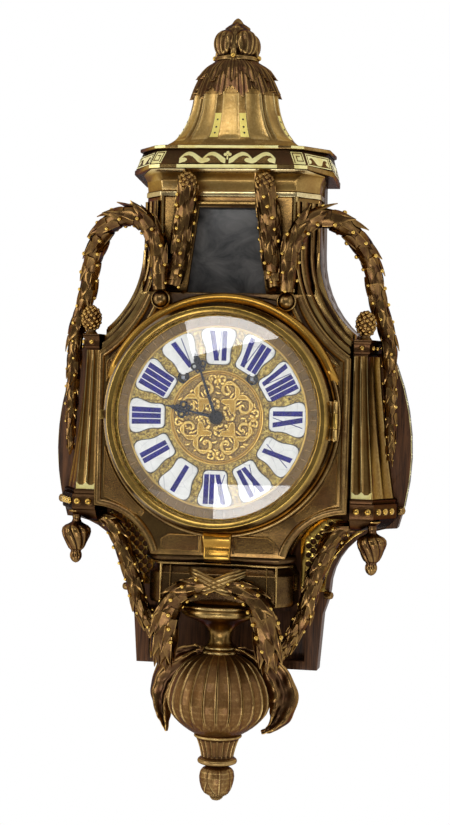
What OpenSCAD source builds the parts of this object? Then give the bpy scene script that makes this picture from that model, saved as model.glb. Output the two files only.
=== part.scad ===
// Gilt bronze wall clock with a hinged glass, a striking movement and a wooden back box.
// Millimetres. The origin is the centre of the hanging hole on the wall plane,
// X runs to the right as seen from the front, +Y into the wall and +Z up.
// Depths are measured from the wall towards the viewer, heights from the dial centre.

/* [Hanging] */
// Height of the hanging hole above the dial centre
dial_drop = 170; // [166:1:176]
// Radius of the hanging hole
hanger_r = 4; // [3:0.5:5]
// Thickness of the hanging plate
hanger_t = 2; // [1.5:0.5:3]
// Width of the hanging plate
hanger_w = 60; // [50:1:70]
// Height of the hanging plate
hanger_h = 30; // [26:1:36]
// Radius of the pocket for the wall hook's head
hook_pocket_r = 9; // [8:0.5:11]

/* [Back box] */
// Thickness of the back board
board_t = 10; // [8:0.5:12]
// Depth of the wooden carcass frame
carcass_t = 12; // [10:0.5:16]
// Width of the carcass frame's rail
rail_w = 13; // [10:0.5:16]
// Greatest half-width of the back box
box_half = 170; // [168:1:176]
// Half-width of the back box at its foot
foot_half = 87; // [84:1:92]
// Height of the back box's foot
foot_z = -237; // [-245:1:-230]
// Radius of the access hole in the back board
access_r = 62; // [58:0.5:63]
// Thickness of the back door
door_t = 2; // [1.5:0.5:3]

/* [Body] */
// Depth of the body shell
shell_t = 28; // [24:1:32]
// Wall of the body shell and the front frame
wall = 4; // [3:0.5:5]
// Depth of the front frame
frame_t = 32; // [28:1:36]
// How far the front panel stands out beside the bezel
panel_margin = 14; // [10:1:15]
// How far the front panel rises above the bezel
panel_rise = 10; // [10:1:14]
// Height of the foot of the front panel's straight sides
panel_low = -85; // [-90:1:-80]
// Radius of the concave lower corners
corner_r = 57; // [50:1:57]
// Radius of the concave shoulders of the shell
shoulder_r = 97; // [94:1:99]
// Radius of the movement's hole in the front frame
movement_hole_r = 73; // [72:0.5:78]

/* [Tower] */
// Half-width of the tower between its canted sides
tower_half = 62.6; // [58:0.2:66]
// Half-width of the tower at the back
tower_side = 81; // [78:0.5:82]
// Depth of the tower in front of the shell
tower_t = 23; // [20:1:26]
// Height of the tower's head
tower_top = 203; // [199:1:207]
// Half-width of the window at its foot
window_low = 37; // [32:0.5:42]
// Half-width of the window at its head
window_high = 27; // [24:0.5:34]
// Thickness of the window panel
panel_t = 2; // [1.5:0.5:3]
// Height of the cove between the tower and the cornice
cove_h = 24; // [20:1:28]
// Height of the cornice
cornice_h = 22; // [18:1:26]
// Half-width of the cornice at the back
cornice_side = 94; // [90:0.5:98]
// How far the cornice stands forward of the tower
cornice_reach = 15; // [12:0.5:18]
// Height of the dome
dome_h = 80; // [70:1:90]
// Half-width of the dome at its flared foot
dome_foot = 70; // [66:0.5:74]
// Half-width of the dome under its leaf collar
dome_waist = 40; // [36:0.5:44]
// Radius of the finial's seat on the dome
finial_r = 20; // [17:0.5:22]
// Height of the finial
finial_h = 42; // [36:1:46]

/* [Pilasters] */
// Height of the pilaster's head
pilaster_top = 60; // [56:1:62]
// Height of the pilaster's foot
pilaster_low = -72; // [-76:1:-68]
// Width of the pilaster's front at the head
pilaster_w_top = 9; // [8:0.5:12]
// Width of the pilaster's front at the foot
pilaster_w_low = 19; // [16:0.5:20]
// Height of the capital
capital_h = 14; // [12:1:16]
// Height of the pilaster's base block
block_h = 20; // [18:1:24]
// Radius of the pine cones
cone_r = 10; // [8:0.5:11]
// Height of the pine cones
cone_h = 27; // [24:1:32]
// Radius of the ball on the drop pendants
pendant_r = 11; // [9:0.5:12]

/* [Foot] */
// Half-width of the base block's front
base_half = 54; // [50:1:58]
// Half-width of the base block at the back
base_side = 68; // [64:1:70]
// Height of the base block's top
base_top = -128; // [-130:1:-126]
// Height of the base block
base_h = 46; // [42:1:50]
// Distance of the turned foot's axis from the wall
foot_d = 54; // [53:0.5:58]
// Radius of the dish
dish_r = 36; // [32:0.5:40]
// Height of the dish and the neck
neck_h = 46; // [42:1:52]
// Radius of the gadrooned bulb
bulb_r = 50; // [44:0.5:51]
// Height of the gadrooned bulb
bulb_h = 76; // [70:1:84]
// Number of gadroons on the bulb
gadroons = 16; // [12:1:20]
// Height of the fluted socket
socket_h = 38; // [34:1:42]
// Radius of the fluted socket
socket_r = 18.5; // [16:0.5:21]
// Height of the bud
bud_h = 24; // [20:1:30]

/* [Dial] */
// Width of the bezel's ring round the glass
bezel_w = 10.4; // [9:0.2:13]
// Outer radius of the bezel and the dial drum
bezel_r = 104; // [102:0.5:104.5]
// Depth of the dial drum
drum_t = 22; // [20:1:26]
// Depth of the bezel
bezel_t = 10; // [8:0.5:12]
// Rise of the convex glass
glass_rise = 13; // [8:0.5:16]
// Thickness of the glass
glass_t = 2; // [1.5:0.5:2.5]
// Thickness of the dial plate
dial_t = 2; // [1.5:0.5:3]
// Inner radius of the ring of cartouches
cartouche_in = 48; // [47:0.5:52]
// Outer radius of the ring of cartouches
cartouche_out = 81; // [76:0.5:83]
// Greatest width of a cartouche
cartouche_w = 24; // [20:0.5:25]
// Thickness of the enamel
enamel_t = 1.5; // [1:0.1:2]
// Length of the minute hand
minute_l = 60; // [52:0.5:70]
// Length of the hour hand
hour_l = 48; // [40:0.5:52]
// Thickness of the hands
hand_t = 0.8; // [0.6:0.1:1]
// Radius of the bezel hinge's pin
hinge_pin_r = 1.2; // [1:0.1:1.5]
// Radius of the bezel hinge's knuckles
knuckle_r = 2.6; // [2.4:0.1:3]

/* [Movement] */
// Radius of the movement's plates
plate_r = 66; // [64:0.5:68]
// Thickness of the movement's plates
plate_t = 3; // [2.5:0.5:4]
// Distance between the plates
plate_gap = 40; // [40:0.5:44]
// Sideways distance of the winding arbors from the centre
winding_x = 31.6; // [31:0.1:33]
// Height of the winding arbors
winding_z = 35.5; // [34:0.1:37]
// Height of the escape wheel's arbor
escape_z = 38; // [37:0.1:39]
// Height of the anchor's arbor and the suspension
anchor_z = 56; // [55:0.5:58]
// Radius of the spring barrels
barrel_r = 18; // [16:0.5:19]
// Radius of the wheel arbors
arbor_r = 1.1; // [1:0.1:1.2]
// Radius of the arbors' pivots
pivot_r = 0.8; // [0.6:0.1:0.9]
// Length of the pendulum from the suspension to the bob
pendulum_l = 150; // [140:1:151]
// Radius of the pendulum's bob
bob_r = 20; // [16:0.5:22]
// Radius of the bell
bell_r = 36; // [32:0.5:38]

/* [Fits] */
// Clearance between parts that are set into each other
seat_gap = 0.2; // [0.1:0.05:0.3]
// Radial clearance of an arbor, pin or hand in its hole
run_gap = 0.08; // [0.04:0.01:0.1]
// Clearance between parts that move past each other
move_gap = 0.5; // [0.4:0.1:0.8]

/* [Hidden] */
$fn = 64;

// Depths of the layers, from the wall to the glass
d_shell = board_t + carcass_t;
d_frame = d_shell + shell_t;
d_tower = d_frame + tower_t;
d_drum = d_frame + frame_t;
panel_half = bezel_r + panel_margin;
panel_top = bezel_r + panel_rise;
glass_r = bezel_r - bezel_w;
d_bezel = d_drum + drum_t;
d_dial = d_bezel - 2;

// Heights that several pieces share
shoulder_z = 153.6;
cornice_z = tower_top + cove_h;
dome_z = cornice_z + cornice_h;
finial_z = dome_z + dome_h;
base_low = base_top - base_h;
bulb_z = base_low - neck_h;
socket_z = bulb_z - bulb_h;
bud_z = socket_z - socket_h;

// Centres of the concave corners
shoulder_c = [tower_side + 2 + shoulder_r, shoulder_z];
front_shoulder_r = shoulder_r + 18;
corner_c = [panel_half, panel_low - corner_r];

// Every sub-part is drawn as seen from the front: x, height above the dial centre, depth from the wall
module in_front() {
    translate([0, 0, -dial_drop]) rotate([90, 0, 0]) children();
}

// Turned and stacked pieces are drawn upright: x, minus the depth, height above the dial centre
module upright() {
    translate([0, 0, -dial_drop]) children();
}

module both_sides() {
    children();
    mirror([1, 0, 0]) children();
}

// A flat outline that starts at a depth
module slab(depth, thickness) {
    translate([0, 0, depth]) linear_extrude(thickness) children();
}

// A turned piece on a vertical axis, from points of radius and height
module turned(x, depth, profile) {
    translate([x, -depth, 0]) rotate_extrude() polygon(profile);
}

function unit(v) = v / norm(v);
function polar(c, r, a) = [c.x + r * cos(a), c.y + r * sin(a)];
function arc(c, r, from, to, steps = 8) = [for (i = [0:steps]) polar(c, r, from + (to - from) * i / steps)];
function mirrored(half) = concat(half, [for (i = [len(half) - 1:-1:0]) [-half[i].x, half[i].y]]);

// An outline moved inwards; the outline runs clockwise
function right_normal(a, b) = let (e = unit(b - a)) [e.y, -e.x];
function inset(p, by) = [for (i = [0:len(p) - 1]) let (
    n1 = right_normal(p[(i + len(p) - 1) % len(p)], p[i]),
    n2 = right_normal(p[i], p[(i + 1) % len(p)])
) p[i] + (n1 + n2) * by / (1 + n1 * n2)];

// A smooth curve through hand-set points
function spline_point(p, i, t) = let (
    a = p[max(i - 1, 0)],
    b = p[i],
    c = p[i + 1],
    d = p[min(i + 2, len(p) - 1)]
) 0.5 * (2 * b + (c - a) * t + (2 * a - 5 * b + 4 * c - d) * t * t + (3 * b - a - 3 * c + d) * t * t * t);
function spline(p, steps) = concat(
    [for (i = [0:len(p) - 2]) for (k = [0:steps - 1]) spline_point(p, i, k / steps)],
    [p[len(p) - 1]]
);

// A solid through rings of points; each ring runs anticlockwise seen from its far end
module loft(rings) {
    n = len(rings[0]);
    last = len(rings) - 1;
    sides = [for (k = [0:last - 1]) for (i = [0:n - 1]) let (
        a = k * n + i,
        b = k * n + (i + 1) % n
    ) each [[a, a + n, b + n], [a, b + n, b]]];
    caps = [[for (i = [0:n - 1]) i], [for (i = [n - 1:-1:0]) last * n + i]];
    polyhedron([for (r = rings) each r], concat(sides, caps));
}

// A round garland along points of x, height, depth and radius
module garland(route, sides = 10, steps = 3) {
    p = spline(route, steps);
    last = len(p) - 1;
    rings = [for (i = [0:last]) let (
        c = [p[i][0], p[i][1], p[i][2]],
        ahead = p[min(i + 1, last)],
        behind = p[max(i - 1, 0)],
        t = unit([ahead[0] - behind[0], ahead[1] - behind[1], ahead[2] - behind[2]]),
        n1 = unit(cross([0, 0, 1], t)),
        n2 = cross(t, n1)
    ) [for (k = [0:sides - 1]) c + p[i][3] * (cos(360 * k / sides) * n1 + sin(360 * k / sides) * n2)]];
    loft(rings);
}

// A level ring of a stacked piece, from the right half of its plan in x and depth, front first
function level(half, z) = concat(
    [for (p = half) [p.x, -p.y, z]],
    [for (i = [len(half) - 1:-1:0]) [-half[i].x, -half[i].y, z]]
);

// Right half of the back box, from the top to the foot
box_arc_r = 220;
box_arc_c = [box_half - box_arc_r, -31];
box_shoulder_z = 72;
box_low_z = -100;
box_low = polar(box_arc_c, box_arc_r, asin((box_low_z - box_arc_c.y) / box_arc_r));
box_waist_r = 62;
box_waist_c = [box_low.x, box_low.y - box_waist_r];
box_outline = mirrored(concat(
    [[tower_side + 1, cornice_z - seat_gap]],
    arc(shoulder_c, shoulder_r, 180, 180 + asin((shoulder_z - box_shoulder_z) / shoulder_r)),
    arc(box_arc_c, box_arc_r, asin((box_shoulder_z - box_arc_c.y) / box_arc_r),
        asin((box_low_z - box_arc_c.y) / box_arc_r)),
    arc(box_waist_c, box_waist_r, 100, 180),
    [[foot_half + 8, box_waist_c.y - 10], [foot_half + 4, box_waist_c.y - 22], [foot_half, foot_z]]
));

// The concave lower corner, from the straight side to the base block's top
function lower_corner(r) = arc(corner_c, r, 90, 180 - asin((base_top - corner_c.y) / corner_r));

// Right half of the shell behind the front frame
shell_outline = mirrored(concat(
    [[tower_side, tower_top]],
    arc(shoulder_c, shoulder_r, 180, 180 + acos((shoulder_c.x - panel_half) / shoulder_r)),
    lower_corner(corner_r)
));

// Right half of the front frame
frame_outline = mirrored(concat(
    arc(shoulder_c, front_shoulder_r, 180 + asin((shoulder_z - panel_top) / front_shoulder_r),
        180 + acos((shoulder_c.x - panel_half) / front_shoulder_r)),
    lower_corner(corner_r)
));

// The back box
module hanging_recess(depth, grow) {
    slab(-1, depth + 1) translate([-hanger_w / 2 - grow, dial_drop - hanger_h / 2 - grow])
        square([hanger_w + 2 * grow, hanger_h + 2 * grow]);
}

screw_r = 2.5;
screw_places = [for (s = [-1, 1]) for (p = [[70, 205], [104, 72], [150, -60],
    [84, -160]]) [s * p.x, p.y]];

module back_board() {
    color("saddlebrown") in_front() difference() {
        slab(0, board_t) polygon(box_outline);
        slab(-1, board_t + 2) circle(access_r);
        hanging_recess(hanger_t, seat_gap);
        translate([0, dial_drop, 0]) cylinder(r = hook_pocket_r, h = board_t - 1);
        for (p = screw_places) translate([p.x, p.y, -1])
            cylinder(r = screw_r + seat_gap, h = board_t + 2);
        door_hinge_cut();
    }
}

// Opening at the foot, with notches in the rails for the turned foot
light_half = foot_half - 12;
notch_half = 42;
foot_light = mirrored([[notch_half, base_low], [notch_half, base_low - 8], [light_half, base_low - 8],
    [light_half, foot_z + 8], [notch_half, foot_z + 8], [notch_half, foot_z - 1]]);

module carcass_frame() {
    color("sienna") in_front() difference() {
        slab(board_t, carcass_t) polygon(box_outline);
        slab(board_t - 1, carcass_t + 2) polygon(inset(shell_outline, wall));
        slab(board_t, carcass_t + 1) polygon(foot_light);
        for (p = screw_places) translate([p.x, p.y, board_t - 1])
            cylinder(r = screw_r + seat_gap, h = carcass_t + 2);
    }
}

module hanging_plate() {
    color("goldenrod") in_front() difference() {
        slab(0, hanger_t) translate([-hanger_w / 2, dial_drop - hanger_h / 2])
            square([hanger_w, hanger_h]);
        translate([0, dial_drop, -1]) cylinder(r = hanger_r, h = hanger_t + 2);
    }
}

// The back door turns on a pin at its left, seen from the front
door_r = access_r - move_gap;
door_hinge_x = -access_r - 3;
door_hinge_d = 3;
door_knuckle_r = 2.4;
door_knuckle_h = 16;
door_pin_r = 1;
finger_hole_r = 5;

module door_hinge_cut() {
    translate([door_hinge_x - 4, -2 * door_knuckle_h, -1]) cube([12, 4 * door_knuckle_h, 8]);
}

module back_door() {
    color("goldenrod") in_front() difference() {
        union() {
            slab(0.5, door_t) circle(door_r);
            slab(0.5, door_t) translate([door_hinge_x, -door_knuckle_h / 2]) square([8, door_knuckle_h]);
            translate([door_hinge_x, door_knuckle_h / 2, door_hinge_d]) rotate([90, 0, 0])
                cylinder(r = door_knuckle_r, h = door_knuckle_h);
        }
        translate([door_hinge_x, door_knuckle_h, door_hinge_d]) rotate([90, 0, 0])
            cylinder(r = door_pin_r + run_gap, h = 2 * door_knuckle_h);
        translate([access_r - 12, 0, 0]) cylinder(r = finger_hole_r, h = 2 * door_t);
    }
}

// Screws through the back box, and the fixed half of the door hinge with its pin
module case_fittings() {
    ear = 1.5 * door_knuckle_h - move_gap;
    color("darkgoldenrod") in_front() {
        for (p = screw_places) translate([p.x, p.y, 0.5]) cylinder(r = screw_r, h = d_shell - 0.5);
        translate([door_hinge_x, ear, door_hinge_d]) rotate([90, 0, 0])
            cylinder(r = door_pin_r, h = 2 * ear);
        for (s = [-1, 1]) difference() {
            union() {
                translate([door_hinge_x, s * (ear + door_knuckle_h / 2 + move_gap) / 2, door_hinge_d])
                    rotate([90, 0, 0])
                    cylinder(r = door_knuckle_r, h = ear - door_knuckle_h / 2 - move_gap, center = true);
                translate([door_hinge_x - 4, s * (ear + door_knuckle_h / 2 + move_gap) / 2,
                    door_hinge_d + 2])
                    translate([0, -(ear - door_knuckle_h / 2 - move_gap) / 2, 0])
                    cube([8, ear - door_knuckle_h / 2 - move_gap, 2]);
            }
            translate([door_hinge_x, s * 2 * ear, door_hinge_d]) rotate([90, 0, 0])
                cylinder(r = door_pin_r, h = 4 * ear, center = true);
        }
    }
}

// The bronze body
// Stepped mouldings fill the concave shoulders between the shell's edge and the front frame
shoulder_steps = 3;
shoulder_rise = 9;
shoulder_in = front_shoulder_r - seat_gap;
shoulder_end = panel_half - wall / 2;
function shoulder_arc(r) = arc(shoulder_c, r, 180, 180 + acos((shoulder_c.x - shoulder_end) / r), 16);
function shoulder_band(r) = concat(shoulder_arc(r), [for (i = [16:-1:0]) shoulder_arc(shoulder_in)[i]]);

module shoulder_moulding() {
    for (i = [0:shoulder_steps - 1]) slab(d_frame - wall, wall + shoulder_rise * (i + 0.5)) difference() {
        polygon(shoulder_band(shoulder_r + (shoulder_in - shoulder_r) * i / shoulder_steps));
        translate([0, panel_top - seat_gap]) square([tower_side + seat_gap, tower_top]);
    }
}

module body_shell() {
    color("#6b4a22") in_front() {
        difference() {
            slab(d_shell, shell_t) polygon(shell_outline);
            slab(d_shell - 1, shell_t + 2) polygon(inset(shell_outline, wall));
        }
        both_sides() shoulder_moulding();
    }
}

arch_in = bezel_r + 1;
arch_out = panel_top - 0.5;
arch_t = 8;

module front_frame() {
    color("#7a5526") in_front() {
        difference() {
            slab(d_frame, frame_t) polygon(frame_outline);
            slab(d_frame - 1, frame_t - wall + 1) polygon(inset(frame_outline, wall));
            slab(d_frame, frame_t + 1) circle(movement_hole_r);
        }
        translate([0, 0, d_drum]) rotate([0, 0, 25]) rotate_extrude(angle = 130)
            polygon([[arch_in, 0], [arch_out, 0], [arch_out, arch_t / 2], [arch_in + 3, arch_t],
                [arch_in, arch_t]]);
    }
}

// The tower above the dial
tower_plan = [[tower_half, d_tower], [tower_side, d_frame]];
window_head = tower_top - 10;
window_foot = panel_top + 2 * seat_gap;

function window_points(grow) = [[-window_low - grow, window_foot - seat_gap],
    [window_low + grow, window_foot - seat_gap],
    [window_high + grow, window_head + grow], [-window_high - grow, window_head + grow]];

module tower_case() {
    inner = inset([for (p = mirrored(tower_plan)) [p.x, p.y]], wall);
    color("#6b4a22") difference() {
        upright() translate([0, 0, panel_top + seat_gap]) linear_extrude(tower_top - panel_top - seat_gap)
            polygon([for (p = mirrored(tower_plan)) [p.x, -p.y]]);
        upright() translate([0, 0, panel_top - 1]) linear_extrude(tower_top - panel_top + 1 - wall)
            polygon([for (p = inner) [p.x, p.y < d_frame + wall + 0.01 ? -d_frame + 1 : -p.y]]);
        in_front() slab(d_tower - wall - 1, wall + 2) polygon(window_points(0));
    }
}

module tower_panel() {
    color("#2a2622") in_front() slab(d_tower - wall - panel_t, panel_t) polygon(window_points(2));
}

// Plans of the mouldings, from the tower's own plan
function moulding(reach, side) = [
    [tower_half - 2 + reach * 0.1, d_tower + reach],
    [tower_half + reach * 0.75, d_tower + reach * 0.6],
    [tower_side + side, d_frame + reach * 0.15],
    [tower_side + side, d_shell]
];

module frieze_cove() {
    cove_side = cornice_side - tower_side - 5;
    color("#5e4120") upright() loft([
        for (s = [[0, 0.15], [0.18, 0.15], [0.22, 0], [0.6, 0.1], [0.83, 0.45], [0.87, 0.6], [1, 0.8]])
            level(moulding(cornice_reach * s[1], cove_side * s[1]), tower_top + cove_h * s[0])
    ]);
}

cornice_back = 1;
cornice_slope = 6;
cornice_plan = concat(
    [for (i = [0:2]) moulding(cornice_reach, cornice_side - tower_side)[i]],
    [[cornice_side, cornice_back]]
);
function cornice_inner(by) = [for (p = cornice_plan) [p.x - by, p.y - (p.y > d_shell ? by : 0)]];

module cornice() {
    color("#6b4a22") upright() loft([
        level(cornice_plan, cornice_z),
        level(cornice_plan, cornice_z + 4),
        level(cornice_inner(cornice_slope), cornice_z + cornice_h - 4),
        level(cornice_inner(cornice_slope - 2), cornice_z + cornice_h - 3),
        level(cornice_inner(cornice_slope - 2), cornice_z + cornice_h)
    ]);
}

// The dome is eight-sided at its foot, where it fills the cornice, and round under its finial
dome_d = 49;
dome_back = dome_d - cornice_back - 1;
dome_front = d_tower + cornice_reach - (cornice_slope - 2) - 1 - dome_d;
dome_sides = 32;
function dome_ring(r, round_share, z) = [for (i = [0:dome_sides - 1]) let (
    a = 360 * (i + 0.5) / dome_sides,
    corner = 45 * round(a / 45),
    flat = cos(22.5) / cos(a - corner),
    reach = r * (round_share + (1 - round_share) * flat),
    deep = sin(a) < 0 ? dome_front : dome_back,
    share = (finial_r + (r - finial_r) * (deep - finial_r) / (dome_foot - finial_r)) / r
) [reach * cos(a), reach * sin(a) * share - dome_d, z]];

module dome() {
    color("#7a5526") upright() loft([for (s = [
        [0, dome_foot, 0.05], [0.06, dome_foot - 3, 0.05], [0.14, dome_foot - 15, 0.1],
        [0.24, dome_foot - 22, 0.3],
        [0.36, dome_waist + 4, 0.6], [0.5, dome_waist + 0.5, 0.9], [0.6, dome_waist - 0.5, 1],
        [0.74, dome_waist - 4, 1], [0.86, dome_waist - 9, 1], [0.95, dome_waist - 15, 1],
        [1, finial_r - 0.5, 1]
    ]) dome_ring(s[1], s[2], dome_z + dome_h * s[0])]);
}

module top_finial() {
    color("#8a6128") upright() translate([0, 0, finial_z]) {
        turned(0, dome_d, [[0, 0], [finial_r, 0], [finial_r + 1, 2], [finial_r, 4], [finial_r - 2, 6],
            [finial_r + 3, 14], [finial_r + 3.5, 18], [finial_r + 2, 24], [finial_r - 3, 29],
            [finial_r - 7, 32], [8, 34], [6, 37], [3, finial_h - 1], [0, finial_h]]);
        for (a = [0:90:270]) translate([(finial_r + 1) * sin(a), -dome_d - (finial_r + 1) * cos(a),
            5]) sphere(r = 4.5);
    }
}

// The pilasters stand on the carcass beside the front panel
side_x = panel_half + 1.5;
block_d = d_drum - 12;
cant_d = 36;
// Right plan of a pilaster piece, anticlockwise from above: front inner corner first
function pier(front_w, cant_w, grow, z) = [
    [side_x, -block_d - grow, z],
    [side_x + front_w + grow, -block_d - grow, z],
    [side_x + cant_w + grow, -cant_d - grow, z],
    [side_x + cant_w + grow, -d_shell, z],
    [side_x, -d_shell, z]
];
pier_w_top = pilaster_w_top + 9;
pier_w_low = pilaster_w_low + 13;

module pilasters() {
    color("#7a5526") upright() both_sides() loft([
        pier(pilaster_w_low, pier_w_low, -2, pilaster_low),
        pier(pilaster_w_top, pier_w_top, -2, pilaster_top)
    ]);
}

stud_r = 3;
module studs(z, width, depth) {
    for (i = [0, 1]) translate([side_x + width * (0.28 + 0.44 * i), -depth, z]) rotate([90, 0, 0])
        cylinder(r1 = stud_r, r2 = stud_r - 1.5, h = 2);
}

module pilaster_capitals() {
    color("#8a6128") upright() both_sides() {
        loft([
            pier(pilaster_w_top, pier_w_top, -1, pilaster_top),
            pier(pilaster_w_top, pier_w_top, 0.5, pilaster_top + capital_h * 0.25),
            pier(pilaster_w_top, pier_w_top, 0.5, pilaster_top + capital_h * 0.7),
            pier(pilaster_w_top, pier_w_top, 1.5, pilaster_top + capital_h)
        ]);
        studs(pilaster_top + capital_h * 0.47, pilaster_w_top + 2, block_d + 0.5);
    }
}

module pilaster_bases() {
    color("#8a6128") upright() both_sides() {
        loft([
            pier(pilaster_w_low, pier_w_low, 0, pilaster_low - block_h),
            pier(pilaster_w_low, pier_w_low, 2, pilaster_low - block_h * 0.75),
            pier(pilaster_w_low, pier_w_low, 2, pilaster_low - block_h * 0.25),
            pier(pilaster_w_low, pier_w_low, 0, pilaster_low)
        ]);
        studs(pilaster_low - block_h / 2, pilaster_w_low + 4, block_d + 2);
    }
}

cone_x = side_x + 9.5;
cone_d = block_d - 6;
cone_z = pilaster_top + capital_h;

module pine_cones() {
    color("#8a6128") upright() both_sides() translate([0, 0, cone_z]) turned(cone_x, cone_d, [
        [0, 0], [cone_r * 0.6, 0], [cone_r * 0.6, 2], [cone_r * 0.45, 4], [cone_r * 0.8, 6],
        [cone_r, cone_h * 0.38],
        [cone_r * 0.97, cone_h * 0.5], [cone_r * 0.75, cone_h * 0.72], [cone_r * 0.4, cone_h * 0.9],
        [0, cone_h]
    ]);
}

pendant_x = side_x + 20;
pendant_d = block_d - 10;
pendant_z = pilaster_low - block_h;

module drop_pendants() {
    r = pendant_r;
    color("#8a6128") upright() both_sides() translate([0, 0, pendant_z]) turned(pendant_x, pendant_d, [
        [0, 0], [r * 0.75, 0], [r * 0.75, -2], [r * 0.4, -5], [r * 0.4, -8], [r * 0.8, -r - 3],
        [r, -2 * r],
        [r * 0.85, -2 * r - 7], [r * 0.45, -3 * r - 2], [r * 0.3, -3 * r - 6], [r * 0.42, -4 * r + 1],
        [0, -4 * r - 4]
    ]);
}

// Garland routes: x, height, depth, radius
handle_route = [
    [58.5, 115.5, d_drum + 8, 5], [59.5, 130, d_drum + 8, 6.5], [61, 150, d_drum + 7, 8],
    [67, 167, d_drum + 6, 9],
    [77, 179, d_drum + 6, 10], [92, 183, d_drum + 5, 10.5], [110, 176, d_drum - 2, 10.5],
    [122, 162, d_drum - 14, 10],
    [131, 145, d_drum - 26, 9.5], [138, 110, d_frame, 8.5], [148, 77, d_frame - 3, 7.5],
    [150, 53, d_frame - 5, 6],
    [151, 26, d_frame - 6, 5], [152, -15, d_frame - 7, 4], [152, -36, d_frame - 8, 2.5]
];

module garland_handle_left() {
    color("#7a5526") in_front() mirror([1, 0, 0]) garland(handle_route);
}

module garland_handle_right() {
    color("#7a5526") in_front() garland(handle_route);
}

boss_p = [58.5, 107];
boss_r = 8;
chute_route = [
    [36, 213, d_tower + 16, 8.5], [37.5, 200, d_tower + 12.5, 9.5], [40, 178, d_tower + 10, 9.5],
    [43, 152, d_tower + 9.6, 9], [45.5, 132, d_tower + 8.4, 7], [48, 118, d_drum + 5.5, 5]
];

module leaf_chutes() {
    color("#8a6128") in_front() both_sides() {
        garland(chute_route, 8);
        translate([boss_p.x, boss_p.y, d_drum + seat_gap])
            rotate_extrude() polygon([[0, 0], [boss_r, 0], [boss_r, 4], [boss_r - 3, 7],
                [boss_r - 5, 10], [0, 11]]);
    }
}

lower_route = [
    [126, pendant_z - 6.5, d_frame, 5], [106, -104, d_frame + 4, 8.5], [86, -150, d_frame + 4, 8.5],
    [79, -178, d_frame + 0.5, 8.5], [66, -203, d_frame - 6.5, 7.5], [54, -224, d_frame - 14, 4]
];

module lower_garlands() {
    color("#7a5526") in_front() both_sides() garland(lower_route);
}

// Pierced frets behind the concave lower corners
fret_t = 2;
fret_pitch = 8.5;
fret_hole = 2.9;
fret_rim = 5;
fret_foot = base_top - 34;
fret_top = pendant_z - 2 * seat_gap;
fret_arc_r = corner_r - 3 * seat_gap;
fret_outline = concat(
    arc(corner_c, fret_arc_r, 180 - asin((fret_top - corner_c.y) / fret_arc_r), 150),
    [[base_side + 1.5, base_top], [base_side + 1.5, fret_foot], [foot_half + 10, fret_foot]],
    arc(box_waist_c, box_waist_r + 4, 178, 96)
);

module sound_frets() {
    color("#8a6128") in_front() both_sides() difference() {
        slab(d_shell, fret_t) polygon(fret_outline);
        for (x = [base_side:fret_pitch:box_half]) for (z = [fret_foot:fret_pitch:panel_low])
            for (q = [[0, 0], [0.5, 0.5]]) {
                p = [x + q.x * fret_pitch, z + q.y * fret_pitch];
                if (norm(p - corner_c) < corner_r - fret_rim - fret_hole
                    && norm(p - box_waist_c) > box_waist_r + fret_rim + fret_hole
                    && p.x > base_side + fret_rim + fret_hole && p.y > fret_foot + fret_rim)
                    translate([p.x, p.y, d_shell - 1]) cylinder(r = fret_hole, h = fret_t + 2, $fn = 8);
            }
    }
}

// The base block and the turned foot under it
base_d = d_drum - 8;
function base_plan(grow) = [[base_half + grow, base_d + grow], [base_side + grow, base_d - 16 + grow],
    [base_side + grow, d_shell]];

module base_block() {
    gap = seat_gap;
    color("#6b4a22") upright() loft([
        level(base_plan(-1), base_low),
        level(base_plan(0), base_low + 4),
        level(base_plan(0), base_low + base_h * 0.62),
        level(base_plan(-2), base_low + base_h * 0.68),
        level(base_plan(-5), base_top - 4),
        level(base_plan(-5), base_top - gap)
    ]);
}

swag_d = base_d + 1;
swag_route = [
    [0, -154, swag_d + 7.5, 8], [20, -156, swag_d + 9, 9], [36, -165, swag_d + 11, 10.5],
    [45, -184, swag_d + 9, 11],
    [48, -204, swag_d + 4, 9.5], [49, -220, swag_d - 2, 5]
];

module front_swag() {
    color("#8a6128") in_front() garland(concat(
        [for (i = [len(swag_route) - 1:-1:1]) [-swag_route[i][0], swag_route[i][1], swag_route[i][2],
        swag_route[i][3]]],
        swag_route
    ));
}

neck_r = 9;
foot_ring_r = 17;

module neck_dish() {
    color("#7a5526") upright() translate([0, 0, bulb_z]) turned(0, foot_d, [
        [0, 0], [foot_ring_r, 0], [foot_ring_r, 4], [foot_ring_r - 5, 7], [neck_r, neck_h * 0.32],
        [neck_r + 3, neck_h * 0.5], [dish_r * 0.6, neck_h * 0.66], [dish_r - 2, neck_h * 0.86],
        [dish_r, neck_h * 0.92],
        [dish_r - 2, neck_h], [0, neck_h]
    ]);
}

// Lobes run from the neck ring to the socket
bulb_steps = 12;
bulb_lobe = 0.05;
function bulb_radius(t) = t < 0.6 ? foot_ring_r + (bulb_r - foot_ring_r) * sin(150 * t)
    : foot_ring_r + 4 + (bulb_r - foot_ring_r - 4) * cos(90 * pow((t - 0.6) / 0.4, 1.6));
function bulb_ring(t) = let (r = bulb_radius(t)) [for (i = [0:4 * gadroons - 1]) let (
    a = 90 * i / gadroons,
    lobe = 1 - bulb_lobe * (1 - sin(180 * t) * abs(sin(gadroons * a / 2)))
) [r * lobe * cos(a), r * lobe * sin(a) - foot_d, bulb_z - bulb_h * t]];

module gadroon_bulb() {
    color("#7a5526") upright() loft([for (k = [bulb_steps:-1:0]) bulb_ring(k / bulb_steps)]);
}

tail_w = 12;
tail_t = 3;
tail_corners = [[-1, -1], [1, -1], [1, 1], [-1, 1]];
tail_route = [[53, -226.2, 35.6], [54, -232, 37], [60, -240, 42], [66, -252, 46], [64, -266, 47],
    [68, -280, 48], [60, -290, 50]];

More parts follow.
